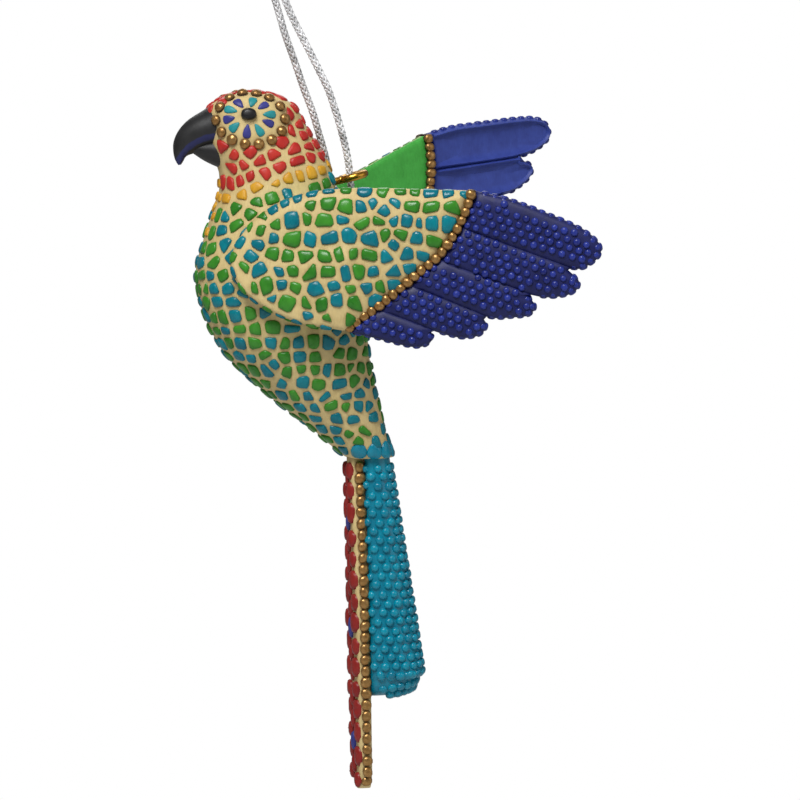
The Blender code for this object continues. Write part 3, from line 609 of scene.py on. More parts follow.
class Wing:
    """One wing's plane: along it, up it and out from it, in millimetres."""

    def __init__(self, name, sign, raised, shift, reach, longer):
        self.name, self.sign, self.shift, self.reach, self.longer = (
            name, sign, shift, reach, longer)
        self.root = Vector((-13.0, sign * 13.0, 0.0))
        self.along = Vector((math.cos(SPLAY), sign * math.sin(SPLAY), 0.0))
        self.out = Vector((-math.sin(SPLAY), sign * math.cos(SPLAY), 0.0))
        self.turn = math.radians(raised)

    def place(self, s, t, h):
        if self.reach:
            s -= self.reach * (1 - ease((s + 10.2) / 34.0))
        t -= PIVOT_UP
        c, q = math.cos(self.turn), math.sin(self.turn)
        s, t = s * c - t * q + self.shift[0], s * q + t * c + PIVOT_UP + self.shift[1]
        p = self.root + self.along * s + Vector((0, 0, t)) + self.out * h
        return EYE + p * MM

    def height_of(self, p):
        return ((p - EYE) / MM - self.root).dot(self.out)


WINGS = (Wing("left", -1.0, 0.0, (0.0, 0.0), 0.0, 0.0),
         Wing("right", 1.0, 27.0, (10.2, -3.5), 8.0, 3.0))


def flat_line(points, count):
    line = curve_through([(p[0], p[1], 0.0) for p in points], 0.25)
    return [(p.x, p.y) for p in even_steps(line, count=count - 1)]


def shift_line(points, by):
    out = []
    for i, p in enumerate(points):
        a, b = points[max(i - 1, 0)], points[min(i + 1, len(points) - 1)]
        d = Vector((b[0] - a[0], b[1] - a[1])).normalized()
        out.append((p[0] - d.y * by, p[1] + d.x * by))
    return out


def inside(p, outline):
    hit = False
    for (x0, y0), (x1, y1) in zip(outline, outline[1:] + outline[:1]):
        if (y0 > p[1]) != (y1 > p[1]) and p[0] < (x1 - x0) * (p[1] - y0) / (y1 - y0) + x0:
            hit = not hit
    return hit


def edge_gap(p, outline):
    """Distance from a point to the nearest side of an outline."""
    q, best = Vector(p), 1e9
    for a, b in zip(outline, outline[1:] + outline[:1]):
        a, b = Vector(a), Vector(b)
        d = b - a
        t = min(max((q - a).dot(d) / max(d.length_squared, 1e-9), 0.0), 1.0)
        best = min(best, (a + d * t - q).length)
    return best


def covert_outline(count=64):
    return flat_line(COVERT_TOP, count) + list(reversed(shift_line(flat_line(BAND, 36), -0.15)))


def clay_form():
    """Body and both wing panels worked together into one skin of clay."""
    bm = bmesh.new()
    levels = [HEAD_TOP + CROWN * math.sin(math.radians(a)) for a in (84, 74, 62, 50, 38, 26, 13)]
    levels += [HEAD_TOP + (RUMP - HEAD_TOP) * i / 52 for i in range(53)]
    bridge_rings(bm, [girth_ring(z, 56) for z in levels])
    outline = covert_outline()
    cx, cy = middle_of(outline)
    for wing in WINGS:
        def ring(f, height):
            return [wing.place(cx + (s - cx) * f, cy + (t - cy) * f, height(s, t))
                    for s, t in outline]

        def inner(s, t, more=0.0):
            return COVERT_IN + more - ROOT_DEPTH * (1 - ease((s + 3.0) / 12.0))

        def lift(s, t):
            low = min(max((-11.0 - t) / 9.0, 0.0), 1.0)
            return (1.2 + 1.4 * low) * (1 - ease((s - 2.0) / 16.0))
        rings = [ring(0.5, inner), ring(0.97, inner), ring(1.0, lambda s, t: inner(s, t, 0.35)),
                 ring(1.0, lambda s, t: COVERT_OUT * 0.45 + lift(s, t) * 0.75)]
        for f, k in ((0.975, 0.0), (0.93, 0.2), (0.86, 0.45), (0.77, 0.62), (0.68, 0.75),
                     (0.55, 0.86), (0.42, 0.94), (0.25, 0.98), (0.1, 1.0)):
            rings.append(ring(f, lambda s, t, k=k: COVERT_OUT + COVERT_SWELL * k
                              + lift(s, t) * (1 - 0.5 * k)))
        bridge_rings(bm, rings)
    bmesh.ops.recalc_face_normals(bm, faces=bm.faces)
    mesh = bpy.data.meshes.new("clay_rough")
    bm.to_mesh(mesh)
    bm.free()
    rough = bpy.data.objects.new("clay_rough", mesh)
    bpy.context.collection.objects.link(rough)
    remesh = rough.modifiers.new("knead", 'REMESH')
    remesh.mode, remesh.voxel_size = 'VOXEL', CLAY_VOXEL
    graph = bpy.context.evaluated_depsgraph_get()
    worked = bpy.data.meshes.new_from_object(rough.evaluated_get(graph))
    bpy.data.objects.remove(rough)
    bm = bmesh.new()
    bm.from_mesh(worked)
    for _ in range(4):
        bmesh.ops.smooth_vert(bm, verts=bm.verts, factor=0.5, use_axis_x=True, use_axis_y=True,
                              use_axis_z=True)
    bm.normal_update()
    painted = bm.verts.layers.float.new("wing_inside")
    for v in bm.verts:
        v.co += v.normal * (0.10 * noise.noise(v.co * 260.0) + 0.05 * noise.noise(v.co * 700)) * MM
        for wing in WINGS:
            q = (v.co - EYE) / MM
            if q.y * wing.sign > 2.0 and outside_by(v.co) > 1.05:
                v[painted] = min(max(0.5 - (wing.height_of(v.co) + 0.1) / 0.8, 0.0), 1.0)
    return bm


# ------------------------------------------------------------------ mosaic chips
class Chip:
    def __init__(self, point, normal, along, zone, weight, size):
        self.point, self.normal, self.along = point, normal, along
        self.zone, self.weight, self.size = zone, weight, size


def clip(poly, ux, uy, reach):
    out = []
    for (x0, y0), (x1, y1) in zip(poly, poly[1:] + poly[:1]):
        a, b = x0 * ux + y0 * uy - reach, x1 * ux + y1 * uy - reach
        if a <= 0:
            out.append((x0, y0))
        if a * b < 0:
            t = a / (a - b)
            out.append((x0 + (x1 - x0) * t, y0 + (y1 - y0) * t))
    return out


def area_of(poly):
    return abs(sum(x0 * y1 - x1 * y0
                   for (x0, y0), (x1, y1) in zip(poly, poly[1:] + poly[:1]))) / 2


def rounded_chip(poly, rng, corners, count=12):
    """Drop corners down to a few, round those left, and space the points evenly."""
    poly = [Vector(p) for p in poly]
    changed = True
    while changed and len(poly) > 3:
        changed = False
        for i in range(len(poly)):
            if (poly[i] - poly[i - 1]).length < 0.55:
                poly[i] = (poly[i] + poly[i - 1]) / 2
                poly.pop(i - 1)
                changed = True
                break
    while len(poly) > corners:
        flat = []
        for i in range(len(poly)):
            a = (poly[i - 1] - poly[i]).normalized()
            b = (poly[(i + 1) % len(poly)] - poly[i]).normalized()
            flat.append((a.dot(b) + rng.uniform(-0.25, 0.25), i))
        poly.pop(min(flat)[1])
    if len(poly) < 3:
        return None
    smooth = []
    for i in range(len(poly)):
        a, p, b = poly[i - 1], poly[i], poly[(i + 1) % len(poly)]
        k = rng.uniform(0.13, 0.30)
        start, end = p.lerp(a, k), p.lerp(b, k)
        for j in range(5):
            t = j / 4
            smooth.append(start * (1 - t) ** 2 + p * 2 * t * (1 - t) + end * t * t)
    line = [Vector((p.x, p.y, 0)) for p in smooth + smooth[:1]]
    return [(p.x, p.y) for p in even_steps(line, count=count)[:-1]]


class Skin:
    """The clay's surface, for setting chips and beads on it."""

    def __init__(self, bm):
        self.tree = BVHTree.FromBMesh(bm)
        painted = bm.verts.layers.float["wing_inside"]
        self.points = [v.co.copy() for v in bm.verts if v[painted] < 0.2]

    def drop(self, p, direction, reach=9.0):
        hit, normal, _, _ = self.tree.ray_cast(p, direction, reach * MM)
        return (hit, normal) if hit else None

    def settle(self, p, normal):
        got = self.drop(p + normal * 2.2 * MM, -normal, 4.0)
        return got[0] if got else self.tree.find_nearest(p)[0]

    def smooth_normal(self, p, reach=1.0):
        """Average normal of the skin round a point."""
        total = Vector()
        for _, normal, _, d in self.tree.find_nearest_range(p, reach * MM):
            total += normal
        return total.normalized() if total.length > 0 else Vector((0, 0, 1))


def set_chips(chips, skin, grout):
    """Shape every chip from its neighbours' places; return lumps by zone."""
    rng = random.Random(41)
    tree = KDTree(len(chips))
    for i, chip in enumerate(chips):
        tree.insert(chip.point, i)
    tree.balance()
    lumps = {}
    for i, chip in enumerate(chips):
        if chip.zone[0] == "kept_clear":
            continue
        u, v = axes_on(chip.normal, chip.along)
        r = chip.size
        lean, taper = rng.uniform(-0.35, 0.35) * r, rng.uniform(0.7, 1.0)
        poly = [(-r - lean, -r * 0.86), (r - lean, -r * 0.86),
                (r * taper + lean, r * 0.86), (-r * taper + lean, r * 0.86)]
        if rng.random() < 0.5:
            poly = [(-x, -y) for x, y in poly]
        for point, j, _ in tree.find_range(chip.point, 8.0 * MM):
            other = chips[j]
            if j == i or chip.normal.dot(other.normal) < 0.15:
                continue
            d = (point - chip.point) / MM
            x, y = d.dot(u), d.dot(v)
            flat = math.hypot(x, y)
            if flat < 0.2:
                continue
            cut = flat * (0.5 + chip.weight - other.weight) - grout[chip.zone[0]] / 2
            poly = clip(poly, x / flat, y / flat, max(cut, 0.15))
            if len(poly) < 3:
                break
        if len(poly) < 3 or area_of(poly) < 0.5:
            continue
        whole, outline = area_of(poly), None
        for corners in range(rng.choice((3, 3, 3, 4, 4, 5)), 8):
            outline = rounded_chip(poly, rng, corners)
            if outline and area_of(outline) > 0.60 * whole:
                break
        if not outline or area_of(outline) < 0.45:
            continue
        area = area_of(outline)
        mx, my = middle_of(outline)
        for part in (1.0, 0.8, 0.62):
            ring = [skin.settle(chip.point + (u * (mx + (x - mx) * part)
                                              + v * (my + (y - my) * part)) * MM, chip.normal)
                    for x, y in outline]
            if all(abs((p - chip.point).dot(chip.normal)) < 1.0 * MM for p in ring):
                break
        else:
            continue
        centre = skin.settle(chip.point + (u * mx + v * my) * MM, chip.normal)
        height = min(0.26 + 0.09 * math.sqrt(area), 0.50) * rng.uniform(0.85, 1.15) * MM
        lumps.setdefault(chip.zone, []).append(
            (ring, centre, chip.normal, height, rng.random()))
    return lumps


COLLAR_SLOPE, COLLAR_HEIGHT = 0.30, 3.4
FACE_X, FACE_Z = -18.8, 10.1             # middle of the ring of beads round each eye


def collar_at(x):
    return COLLAR_HEIGHT + COLLAR_SLOPE * x


def kept_bare(p, cord_line, ring_centre):
    """True where the body's clay carries no chips: face, screw eye, cord, tail root."""
    q = (p - EYE) / MM
    beak = q.x < -22.3 and -0.2 < q.z < 12.0 and abs(q.y) < 4.6
    eye = math.hypot((q.x - FACE_X) / 7.0, (q.z - FACE_Z) / 5.6) < 1.0 and abs(q.y) > 3.2
    near_cord = min((p - c).length for c in cord_line) < 2.75 * MM
    near_ring = (p - ring_centre).length < 4.4 * MM
    scalloped = q.z < RUMP + 2.4 and q.x > 1.6
    return beak or eye or near_cord or near_ring or scalloped or q.z < RUMP + 0.9


def body_zone(p, offset, rng):
    """Colour and part for a chip, by its height over the collar."""
    q = (p - EYE) / MM
    if abs(q.y) < 2.0 and q.x < -20 and -12 < q.z < 0.5:
        return ("yellow", "throat")
    if offset > 1.2:
        return ("red", "neck")
    if offset > -1.2:
        return ("yellow", "collar")
    return (rng.choice(("green", "teal")), "body")


def body_chip_places(skin, cord_line, ring_centre):
    """Rough rows of chips round the body, slanted with the collar."""
    rng = random.Random(7)
    chips = []
    offset, rows = 22.05, []
    while offset > -52.0:
        rows.append(offset)
        if offset > 0.5:
            offset -= 2.25
        elif offset > -24:
            offset -= 2.85
        else:
            offset -= max(2.1, 2.85 + (offset + 24) * 0.05)
    collar_row = min(range(len(rows)), key=lambda k: abs(rows[k]))
    for k, offset in enumerate(rows):
        offset -= rows[collar_row]
        slope = COLLAR_SLOPE * max(0.0, 1 - max(-offset - 6, 0) / 26.0)
        a = rng.uniform(0, 2)
        swept = 0.0
        while swept < 2 * math.pi:
            z = collar_at(-13) + offset
            for _ in range(4):
                middle, depth, half = station(z)
                x = middle + depth * math.cos(a)
                z = collar_at(-13) + offset + slope * (x + 13)
            z += rng.uniform(-0.3, 0.3)
            middle, depth, half = station(z)
            if z > HEAD_TOP + CROWN - 0.4 or z < RUMP + 0.9:
                pitch = 2.6
            else:
                along = Vector((-math.sin(a) * depth, math.cos(a) * half, 0.0))
                pitch = 2.45 if offset > -1.5 else (3.15 if z > -27 else 2.35)
                pitch *= rng.choice((0.72, 0.9, 1.0, 1.1, 1.3))
                origin = spot(middle, 0, z)
                ray = Vector((math.cos(a) * depth, math.sin(a) * half, 0)).normalized()
                if z > HEAD_TOP:
                    ray = Vector((ray.x * depth, ray.y * half,
                                  1.6 * (z - HEAD_TOP))).normalized()
                    origin = spot(middle, 0, min(z, HEAD_TOP))
                got = skin.drop(origin, ray, 20.0)
                if got and outside_by(got[0]) < 1.11:
                    chips.append((got[0], along.normalized(), offset, z))
            reach = math.hypot(math.sin(a) * depth, math.cos(a) * half)
            a += pitch / max(reach, 1.0)
            swept += pitch / max(reach, 1.0)
    kept = []
    for p, along, offset, z in chips:
        if kept_bare(p, cord_line, ring_centre):
            continue
        normal = skin.smooth_normal(p)
        zone = body_zone(p, offset, rng)
        size = {"neck": 1.65, "collar": 1.6, "throat": 1.0}.get(
            zone[1], 1.9 if z > -27 else max(1.35, 1.9 + (z + 27) * 0.03))
        kept.append(Chip(p, normal, along, zone, rng.uniform(-0.06, 0.06), size))
    # the eye rings and the beak's root stay clear of chips
    for side in (-1.0, 1.0):
        for c, s in around(30):
            q, n = flank(FACE_X + 5.7 * c, FACE_Z + 4.3 * s, side)
            kept.append(Chip(q, n, Vector((1, 0, 0)), ("kept_clear", ""), 0.0, 1.0))
    return kept


def wing_chip_places(wing, skin):
    """Rows of chips along the outer face of a wing's coverts."""
    rng = random.Random(19 if wing.sign < 0 else 23)
    outline = covert_outline(48)
    along = (wing.place(1, 0, 0) - wing.place(0, 0, 0)).normalized()
    chips, t = [], -4.7
    while t > -27.0:
        s = -11.0 + rng.uniform(0, 3)
        while s < 32.5:
            p = (s, t + rng.uniform(-0.5, 0.5))
            band, rim = nearest_gap(p, outline[48:]), nearest_gap(p, outline[:48])
            if inside(p, outline) and band > 1.6 and rim > 1.9:
                got = skin.drop(wing.place(p[0], p[1], 9.0), -wing.out, 14.0)
                if got and abs(wing.height_of(got[0])) < 7.0:
                    normal = skin.smooth_normal(got[0])
                    color = rng.choice(("green", "teal"))
                    chips.append(Chip(got[0], normal, along, (color, wing.name + "_wing"),
                                      rng.uniform(-0.10, 0.10), 2.15))
            s += rng.choice((2.1, 2.5, 2.9, 3.4, 4.0))
        t -= 2.85
    # a last file laps over the panel's rounded edge, from the band's top round to its foot
    rim = even_steps([Vector((p[0], p[1], 0)) for p in flat_line(COVERT_TOP, 160)], step=0.3)
    i = 5
    while i < len(rim) - 6:
        d = (rim[i + 3] - rim[i - 3]).normalized()
        q = rim[i] - Vector((d.y, -d.x, 0)) * 0.75
        away = (wing.place(q.x + d.y, q.y - d.x, 0) - wing.place(q.x, q.y, 0)).normalized()
        facing = (away * 0.55 + wing.out * 0.85).normalized()
        base = wing.place(q.x, q.y, 1.2)
        got = skin.drop(base + facing * 6 * MM, -facing, 9.0)
        if got and (got[0] - base).length < 3.2 * MM:
            normal = (skin.smooth_normal(got[0], 1.2) + facing * 0.6).normalized()
            run = (wing.place(q.x + d.x, q.y + d.y, 0) - wing.place(q.x, q.y, 0)).normalized()
            chips.append(Chip(got[0], normal, run, (rng.choice(("green", "teal")),
                                                    wing.name + "_wing"),
                              rng.uniform(-0.05, 0.05), rng.uniform(1.2, 1.7)))
        i += rng.randint(8, 11)
    return chips


def fill_bare_places(taken, skin, cord_line, ring_centre):
    """Press small chips wherever the rows ran apart and left a bare patch."""
    rng = random.Random(53)
    cell, near = 2.4 * MM, {}

    def key(p):
        return tuple(math.floor(c / cell) for c in p)

    def claim(p, room):
        near.setdefault(key(p), []).append((p, room * MM))
    for chip in taken:
        claim(chip.point, 1.9 if chip.zone[0] == "kept_clear" else 2.2)
    for wing in WINGS:
        for s, t in flat_line(BAND, 60):
            for h in (0.5, 1.5, 2.5):
                claim(wing.place(s, t, h), 1.5)
    for p in rng.sample(skin.points, 12000):
        k = key(p)
        if any((p - q).length < room for i in (-1, 0, 1) for j in (-1, 0, 1) for m in (-1, 0, 1)
               for q, room in near.get((k[0] + i, k[1] + j, k[2] + m), ())):
            continue
        q, normal = (p - EYE) / MM, skin.smooth_normal(p)
        if outside_by(p) > 1.14:
            wing = WINGS[0] if q.y < 0 else WINGS[1]
            if q.z < -40 or normal.dot(wing.out) < 0.45:
                continue
            zone = (rng.choice(("green", "teal")), wing.name + "_wing")
        elif kept_bare(p, cord_line, ring_centre):
            continue
        else:
            zone = body_zone(p, q.z - collar_at(q.x), rng)
        claim(p, 2.2 if q.z > -35 else 1.95)
        taken.append(Chip(p, normal, Vector((-normal.y, normal.x, 0.02)), zone, -0.04,
                          1.5 if q.z > -35 else 1.2))


def mosaic(skin, cord_line, ring_centre):
    """All the chips on the clay, one piece for each colour and part of the bird."""
    taken = []
    for wing in WINGS:
        taken += wing_chip_places(wing, skin)
    for chip in body_chip_places(skin, cord_line, ring_centre):
        if all((chip.point - c.point).length > 2.1 * MM for c in taken):
            taken.append(chip)
    fill_bare_places(taken, skin, cord_line, ring_centre)
    grout = {"red": 0.50, "yellow": 0.7, "green": 0.52, "teal": 0.52}
    for (color, part), lumps in sorted(set_chips(taken, skin, grout).items()):
        lump_piece("%s_chips_%s" % (part, color), lumps, color)


# ------------------------------------------------------------------ head
def flank(x, z, side):
    """Point of the body's flank and its outward normal."""
    def y_at(x, z):
        middle, depth, half = station(z)
        k = min(abs(x - middle) / max(depth, 1e-6), 0.999)
        return half * (1 - k ** ROUNDNESS) ** (1 / ROUNDNESS)
    e = 0.05
    gx = (y_at(x + e, z) - y_at(x - e, z)) / (2 * e)
    gz = (y_at(x, z + e) - y_at(x, z - e)) / (2 * e)
    return spot(x, side * y_at(x, z), z), Vector((-gx, side, -gz)).normalized()


def head(skin):
    rng = random.Random(3)
    for name, side in (("left", -1.0), ("right", 1.0)):
        # pupil: an oval dome with a flatter lower edge
        p, n = flank(-19.4, 10.8, side)
        n = skin.smooth_normal(p, 1.6)
        p = skin.settle(p, n)
        up = Vector((0, 0, 1))
        v = (up - n * up.dot(n)).normalized()
        u = v.cross(n)
        outline = []
        for c, s in around(24):
            low = 0.80 if s < 0 else 1.08
            k = squared(c, s, 2.3)
            outline.append(p + (u * 1.36 * k * c + v * 1.10 * low * k * s) * MM)
        eye = lump_piece(name + "_pupil", [(outline, p, n, 1.15 * MM, 0.4)], "black",
                         PUPIL, 0.3)
        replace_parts(eye, name + "_eye")

        # ten petals round it, indigo and turquoise by turns
        petals = {"indigo": [], "cyan": []}
        for i in range(10):
            a = 2 * math.pi * (i + 0.25) / 10 + rng.uniform(-0.05, 0.05)
            x, z = -19.25 + 3.55 * math.cos(a), 10.55 + 2.62 * math.sin(a)
            q, m = flank(x, z, side)
            m = skin.smooth_normal(q, 1.3)
            q = skin.settle(q, m)
            radial, across = axes_on(m, (q - p).normalized())
            long, wide = rng.uniform(1.10, 1.26), rng.uniform(0.84, 0.96)
            ring = []
            for c, s in around(14, 0.5):
                k = squared(c, s, 3) if c > 0 else 1.0
                w = q + (radial * long * c + across * wide * (0.70 + 0.32 * c) * s) * k * MM
                ring.append(skin.settle(w, m))
            tone = "indigo" if i % 2 else "cyan"
            petals[tone].append((ring, q, m, 0.26 * MM, rng.random()))
        for tone, lumps in petals.items():
            lump_piece("%s_eye_petals_%s" % (name, tone), lumps, tone)

        # gold beads in a ring
        circle = []
        for i in range(361):
            a = math.radians(i)
            circle.append(flank(FACE_X + 5.9 * math.cos(a), FACE_Z + 4.45 * math.sin(a),
                                side)[0])
        lumps, nodes = [], []
        for i, q in enumerate(even_steps(circle, count=14)[:-1]):
            m = skin.smooth_normal(q, 1.2)
            q = skin.settle(q, m)
            u, v = axes_on(m, Vector((1, 0, 0.2)))
            ring = disc(q, u, v, rng.uniform(0.90, 0.98), 12)
            lumps.append((ring, q, m, rng.uniform(0.85, 0.98) * MM, rng.random()))
            nodes.append("%s_eye_bead_%02d" % (name, i + 1))
        beads = lump_piece(name + "_eye_beads", lumps, "gold", STUD)
        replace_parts(beads, *nodes)


def beak():
    ridge = ((-20.6, 12.9), (-24.6, 12.5), (-27.0, 11.3), (-29.3, 9.8), (-30.9, 8.0),
             (-31.7, 6.2), (-31.8, 4.6), (-31.5, 3.0), (-30.9, 2.0))
    edge = ((-19.0, 5.0), (-21.0, 5.0), (-24.3, 5.1), (-26.4, 4.7), (-28.0, 4.1),
            (-29.2, 3.7), (-29.7, 3.3), (-30.0, 2.7), (-30.4, 2.1))
    half = (4.6, 4.7, 4.5, 3.9, 3.3, 2.6, 1.9, 1.2, 0.5)
    jaw_top = ((-19.0, 7.4), (-21.0, 7.3), (-24.3, 7.0), (-26.6, 6.4), (-28.4, 5.6))
    jaw_low = ((-19.0, 0.4), (-21.0, 0.7), (-23.8, 1.6), (-26.2, 2.7), (-28.2, 4.0))
    jaw_half = (4.2, 4.2, 3.8, 2.8, 1.4)
    for name, top, low, wide, node in (("beak_hook", ridge, edge, half, "upper_beak"),
                                       ("beak_jaw", jaw_top, jaw_low, jaw_half, "lower_beak")):
        n = 30
        tops = even_steps(curve_through([(x, 0, z) for x, z in top], 0.2), count=n)
        lows = even_steps(curve_through([(x, 0, z) for x, z in low], 0.2), count=n)
        wides = even_steps(curve_through([(i, 0, w) for i, w in enumerate(wide)], 0.1), count=n)
        rings = []
        for a, b, w in zip(tops, lows, wides):
            mid, arm = (a + b) / 2, (a - b) / 2
            middles = [(mid + arm * c, w.z * s) for c, s in around(28)]
            rings.append([spot(q.x, y, q.z) for q, y in middles])
        bm = bmesh.new()
        bridge_rings(bm, rings)
        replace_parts(piece(name, bm, "beak"), node)


# ------------------------------------------------------------------ feathers
def feather_plan(k, longer):
    """Outline of one feather, from its root along the band round its tip."""
    band = shift_line(flat_line(BAND, 16), 0.15)
    root = band[k * 3:k * 3 + 4]
    tip = list(FEATHER_TIPS[k])
    if k == 0:
        tip[1:4] = [(s + longer, t - longer * 0.3) for s, t in tip[1:4]]
    low_end = tip[-1]

    def beside(p, q, end, by):
        d = Vector((q[0] - p[0], q[1] - p[1])).normalized()
        return (end[0] - d.y * by, end[1] + d.x * by)
    if k == 0:
        upper = [root[0], (38.0, -3.7), tip[0]]
    else:
        notch = FEATHER_TIPS[k - 1][-1]
        upper = [beside(root[0], notch, root[0], 0.22), beside(root[0], notch, notch, 0.22)]
    if k == 4:
        low = [low_end, root[-1]]
    else:
        low = [beside(root[-1], low_end, low_end, -0.22),
               beside(root[-1], low_end, root[-1], -0.22)]
    nose = list(tip[1:-1]) if k == 0 else list(tip[:-1])
    return upper, nose, low, list(reversed(root))


def feather_outline(k, longer):
    upper, nose, low, root = feather_plan(k, longer)
    blade = curve_through([(p[0], p[1], 0) for p in upper + nose + low], 0.8)
    return [(p.x, p.y) for p in blade] + root[1:-1], [(p.x, p.y) for p in blade]


def flight_feathers(wing):
    rng = random.Random(11 if wing.sign < 0 else 13)
    along_wing = (wing.place(1, 0, 0) - wing.place(0, 0, 0)).normalized()
    out = wing.out.copy()
    dots = []
    for k in range(5):
        outline, blade = feather_outline(k, wing.longer)
        cx, cy = middle_of(outline)
        h = FEATHER_HALF

        def ring(f, height):
            return [wing.place(cx + (s - cx) * f, cy + (t - cy) * f, height) for s, t in outline]

        reach = max(math.hypot(s - outline[-1][0], t - outline[-1][1]) for s, t in outline)
        rim = min(1.0, area_of(outline) / reach / 5.0)

        def inset(by, height, f=1.0):
            """A ring in from the outline by a distance, for the smooth face's rolled rim."""
            line = []
            for i, (s, t) in enumerate(outline):
                a, b = outline[i - 1], outline[(i + 1) % len(outline)]
                d = Vector((b[0] - a[0], b[1] - a[1])).normalized()
                line.append((s + d.y * by * rim, t - d.x * by * rim))
            mx, my = middle_of(line)
            return [wing.place(mx + (s - mx) * f, my + (t - my) * f, height) for s, t in line]
        rings = [inset(1.2, -h + 0.85, 0.6), inset(1.2, -h + 0.5),
                 inset(0.98, -h + 0.1), inset(0.72, -h - 0.05),
                 inset(0.5, -h + 0.2), inset(0.3, -h * 0.4), ring(1.0, -h * 0.1),
                 ring(1.0, h * 0.35),
                 ring(0.975, h * 0.78), ring(0.91, h + 0.05), ring(0.75, h + 0.3),
                 ring(0.5, h + 0.45), ring(0.2, h + 0.5)]
        bm = bmesh.new()
        bridge_rings(bm, rings)
        bmesh.ops.recalc_face_normals(bm, faces=bm.faces)
        bm.normal_update()
        tree = BVHTree.FromBMesh(bm)
        for face in bm.faces:
            face.material_index = 1 if face.normal.dot(out) < -0.25 else 0
        blade_ob = piece("%s_feather_%d_blade" % (wing.name, k + 1), bm,
                         ["feather", "feather_inner"])
        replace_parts(blade_ob, "%s_feather_%d" % (wing.name, k + 1))

        # rows of raised dots along the feather's outer face
        others = [feather_outline(j, wing.longer)[0] for j in (k - 1, k + 1) if 0 <= j < 5]
        band = shift_line(flat_line(BAND, 16), 0.15)
        start = Vector(band[k * 3]).lerp(Vector(band[k * 3 + 3]), 0.5)
        tip = Vector(FEATHER_TIPS[k][2])
        u = (tip - start).normalized()
        v = Vector((-u.y, u.x))
        row = -7
        while row <= 7:
            a = -8.0 + (row % 2) * 0.88
            while a < 34:
                q = start + u * a + v * row * DOT_ROWS
                q = (q.x + rng.uniform(-0.12, 0.12), q.y + rng.uniform(-0.12, 0.12))
                clear = nearest_gap(q, blade)
                shared = any(inside(q, o) or edge_gap(q, o) < 1.0 for o in others)
                if inside(q, outline) and clear > (0.8 if shared else 0.98):
                    hit, n, _, _ = tree.ray_cast(wing.place(q[0], q[1], 5.0), -out, 8 * MM)
                    if hit:
                        dots.append((hit, (out + n).normalized(), rng.uniform(0.58, 0.70)))
                a += DOT_PITCH
            row += 1
        # and round its edge
        edge = even_steps([Vector((p[0], p[1], 0)) for p in blade], step=DOT_PITCH + wing.longer * 0.08)
        for i, q in enumerate(edge[1:-1]):
            if any(inside((q.x, q.y), o) or edge_gap((q.x, q.y), o) < 0.5 for o in others):
                continue
            d = (edge[i + 2] - edge[i]).normalized()
            outward = Vector((-d.y, d.x, 0))
            if outward.dot(Vector((q.x - cx, q.y - cy, 0))) < 0:
                outward = -outward
            w = q - outward * 0.22
            c = wing.place(w.x, w.y, 0.1)
            far = wing.place(w.x + outward.x, w.y + outward.y, 0.1)
            dots.append((c, (far - c).normalized(), rng.uniform(0.68, 0.78)))
            w = q - outward * 0.55
            dots.append((wing.place(w.x, w.y, 0.95), ((far - c).normalized() * 0.4 + out
                                                      ).normalized(), rng.uniform(0.54, 0.62)))
    lumps = []
    for c, n, r in dots:
        u, v = axes_on(n, along_wing)
        lumps.append((disc(c, u, v, r, 8), c, n, r * 0.72 * MM, rng.random()))
    lump_piece(wing.name + "_feather_dots", lumps, "dots", DROP, 0.25)


def bead_row(name, places, node, rng, length, width, height):
    """A row of touching pellets: (point, outward, direction of the row)."""
    lumps = []
    for p, n, d in places:
        u, v = axes_on(n, d)
        a, b = length * rng.uniform(0.92, 1.06), width * rng.uniform(0.88, 1.1)
        slew = rng.uniform(-0.16, 0.16)
        ring = []
        for c, t in around(10):
            k = squared(c, t, 2.6)
            x, y = a * c * k, b * t * k
            ring.append(p + (u * (x + y * slew) + v * y) * MM)
        lumps.append((ring, p, n, height * rng.uniform(0.9, 1.08) * MM, rng.random()))
    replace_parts(lump_piece(name, lumps, "gold", BEAD, 0.3), node)


def wing_bands(wing):
    rng = random.Random(5)
    line = [Vector((s, t, 0)) for s, t in shift_line(flat_line(BAND, 40), -0.35)]
    for name, lift, out, node in (
            ("outer", 1.15, wing.out, wing.name + "_wing_beads"),
            ("inner", -1.45, -wing.out, wing.name + "_wing_inner_beads")):
        stops = even_steps(line, count=42)
        places = []
        for i in range(1, 42, 2):
            a, b = stops[i - 1], stops[i + 1]
            p = wing.place(stops[i].x, stops[i].y, lift)
            d = (wing.place(b.x, b.y, lift) - wing.place(a.x, a.y, lift)).normalized()
            places.append((p, out.copy(), d))
        bead_row("%s_wing_%s_gold_beads" % (wing.name, name), places, node, rng,
                 0.76, 0.84, 0.9)
    # a plain gold cord of clay under the pellets, so no gap shows between them
    bm = bmesh.new()
    bed = even_steps(line, count=60)
    rings = []
    for i, q in enumerate(bed):
        a, b = bed[max(i - 1, 0)], bed[min(i + 1, 60)]
        d = (b - a).normalized()
        side = Vector((-d.y, d.x, 0))
        ends = 0.4 + 0.6 * min(1.0, i / 4, (60 - i) / 4)
        ring = []
        for c, t in around(12):
            w = q + side * 0.62 * ends * c
            ring.append(wing.place(w.x, w.y, -0.15 + 1.75 * ends * t))
        rings.append(ring)
    bridge_rings(bm, rings)
    piece(wing.name + "_wing_bead_bed", bm, "gold")


# ------------------------------------------------------------------ tail
TAIL_TOP, TAIL_LENGTH, LOBE_LENGTH = RUMP - 0.3, 59.8, 38.6


def tail_half(f):
    if f < 0.45:
        k = f / 0.45
        return 2.5 + 1.7 * k * k * (3 - 2 * k)
    k = (f - 0.45) / 0.55
    half = 4.2 - 0.5 * k
    if f > 0.93:
        half *= math.sqrt(max(1 - ((f - 0.93) / 0.075) ** 2, 0.0))
    return half


def tail_front(f):
    return -0.4 + 1.5 * f


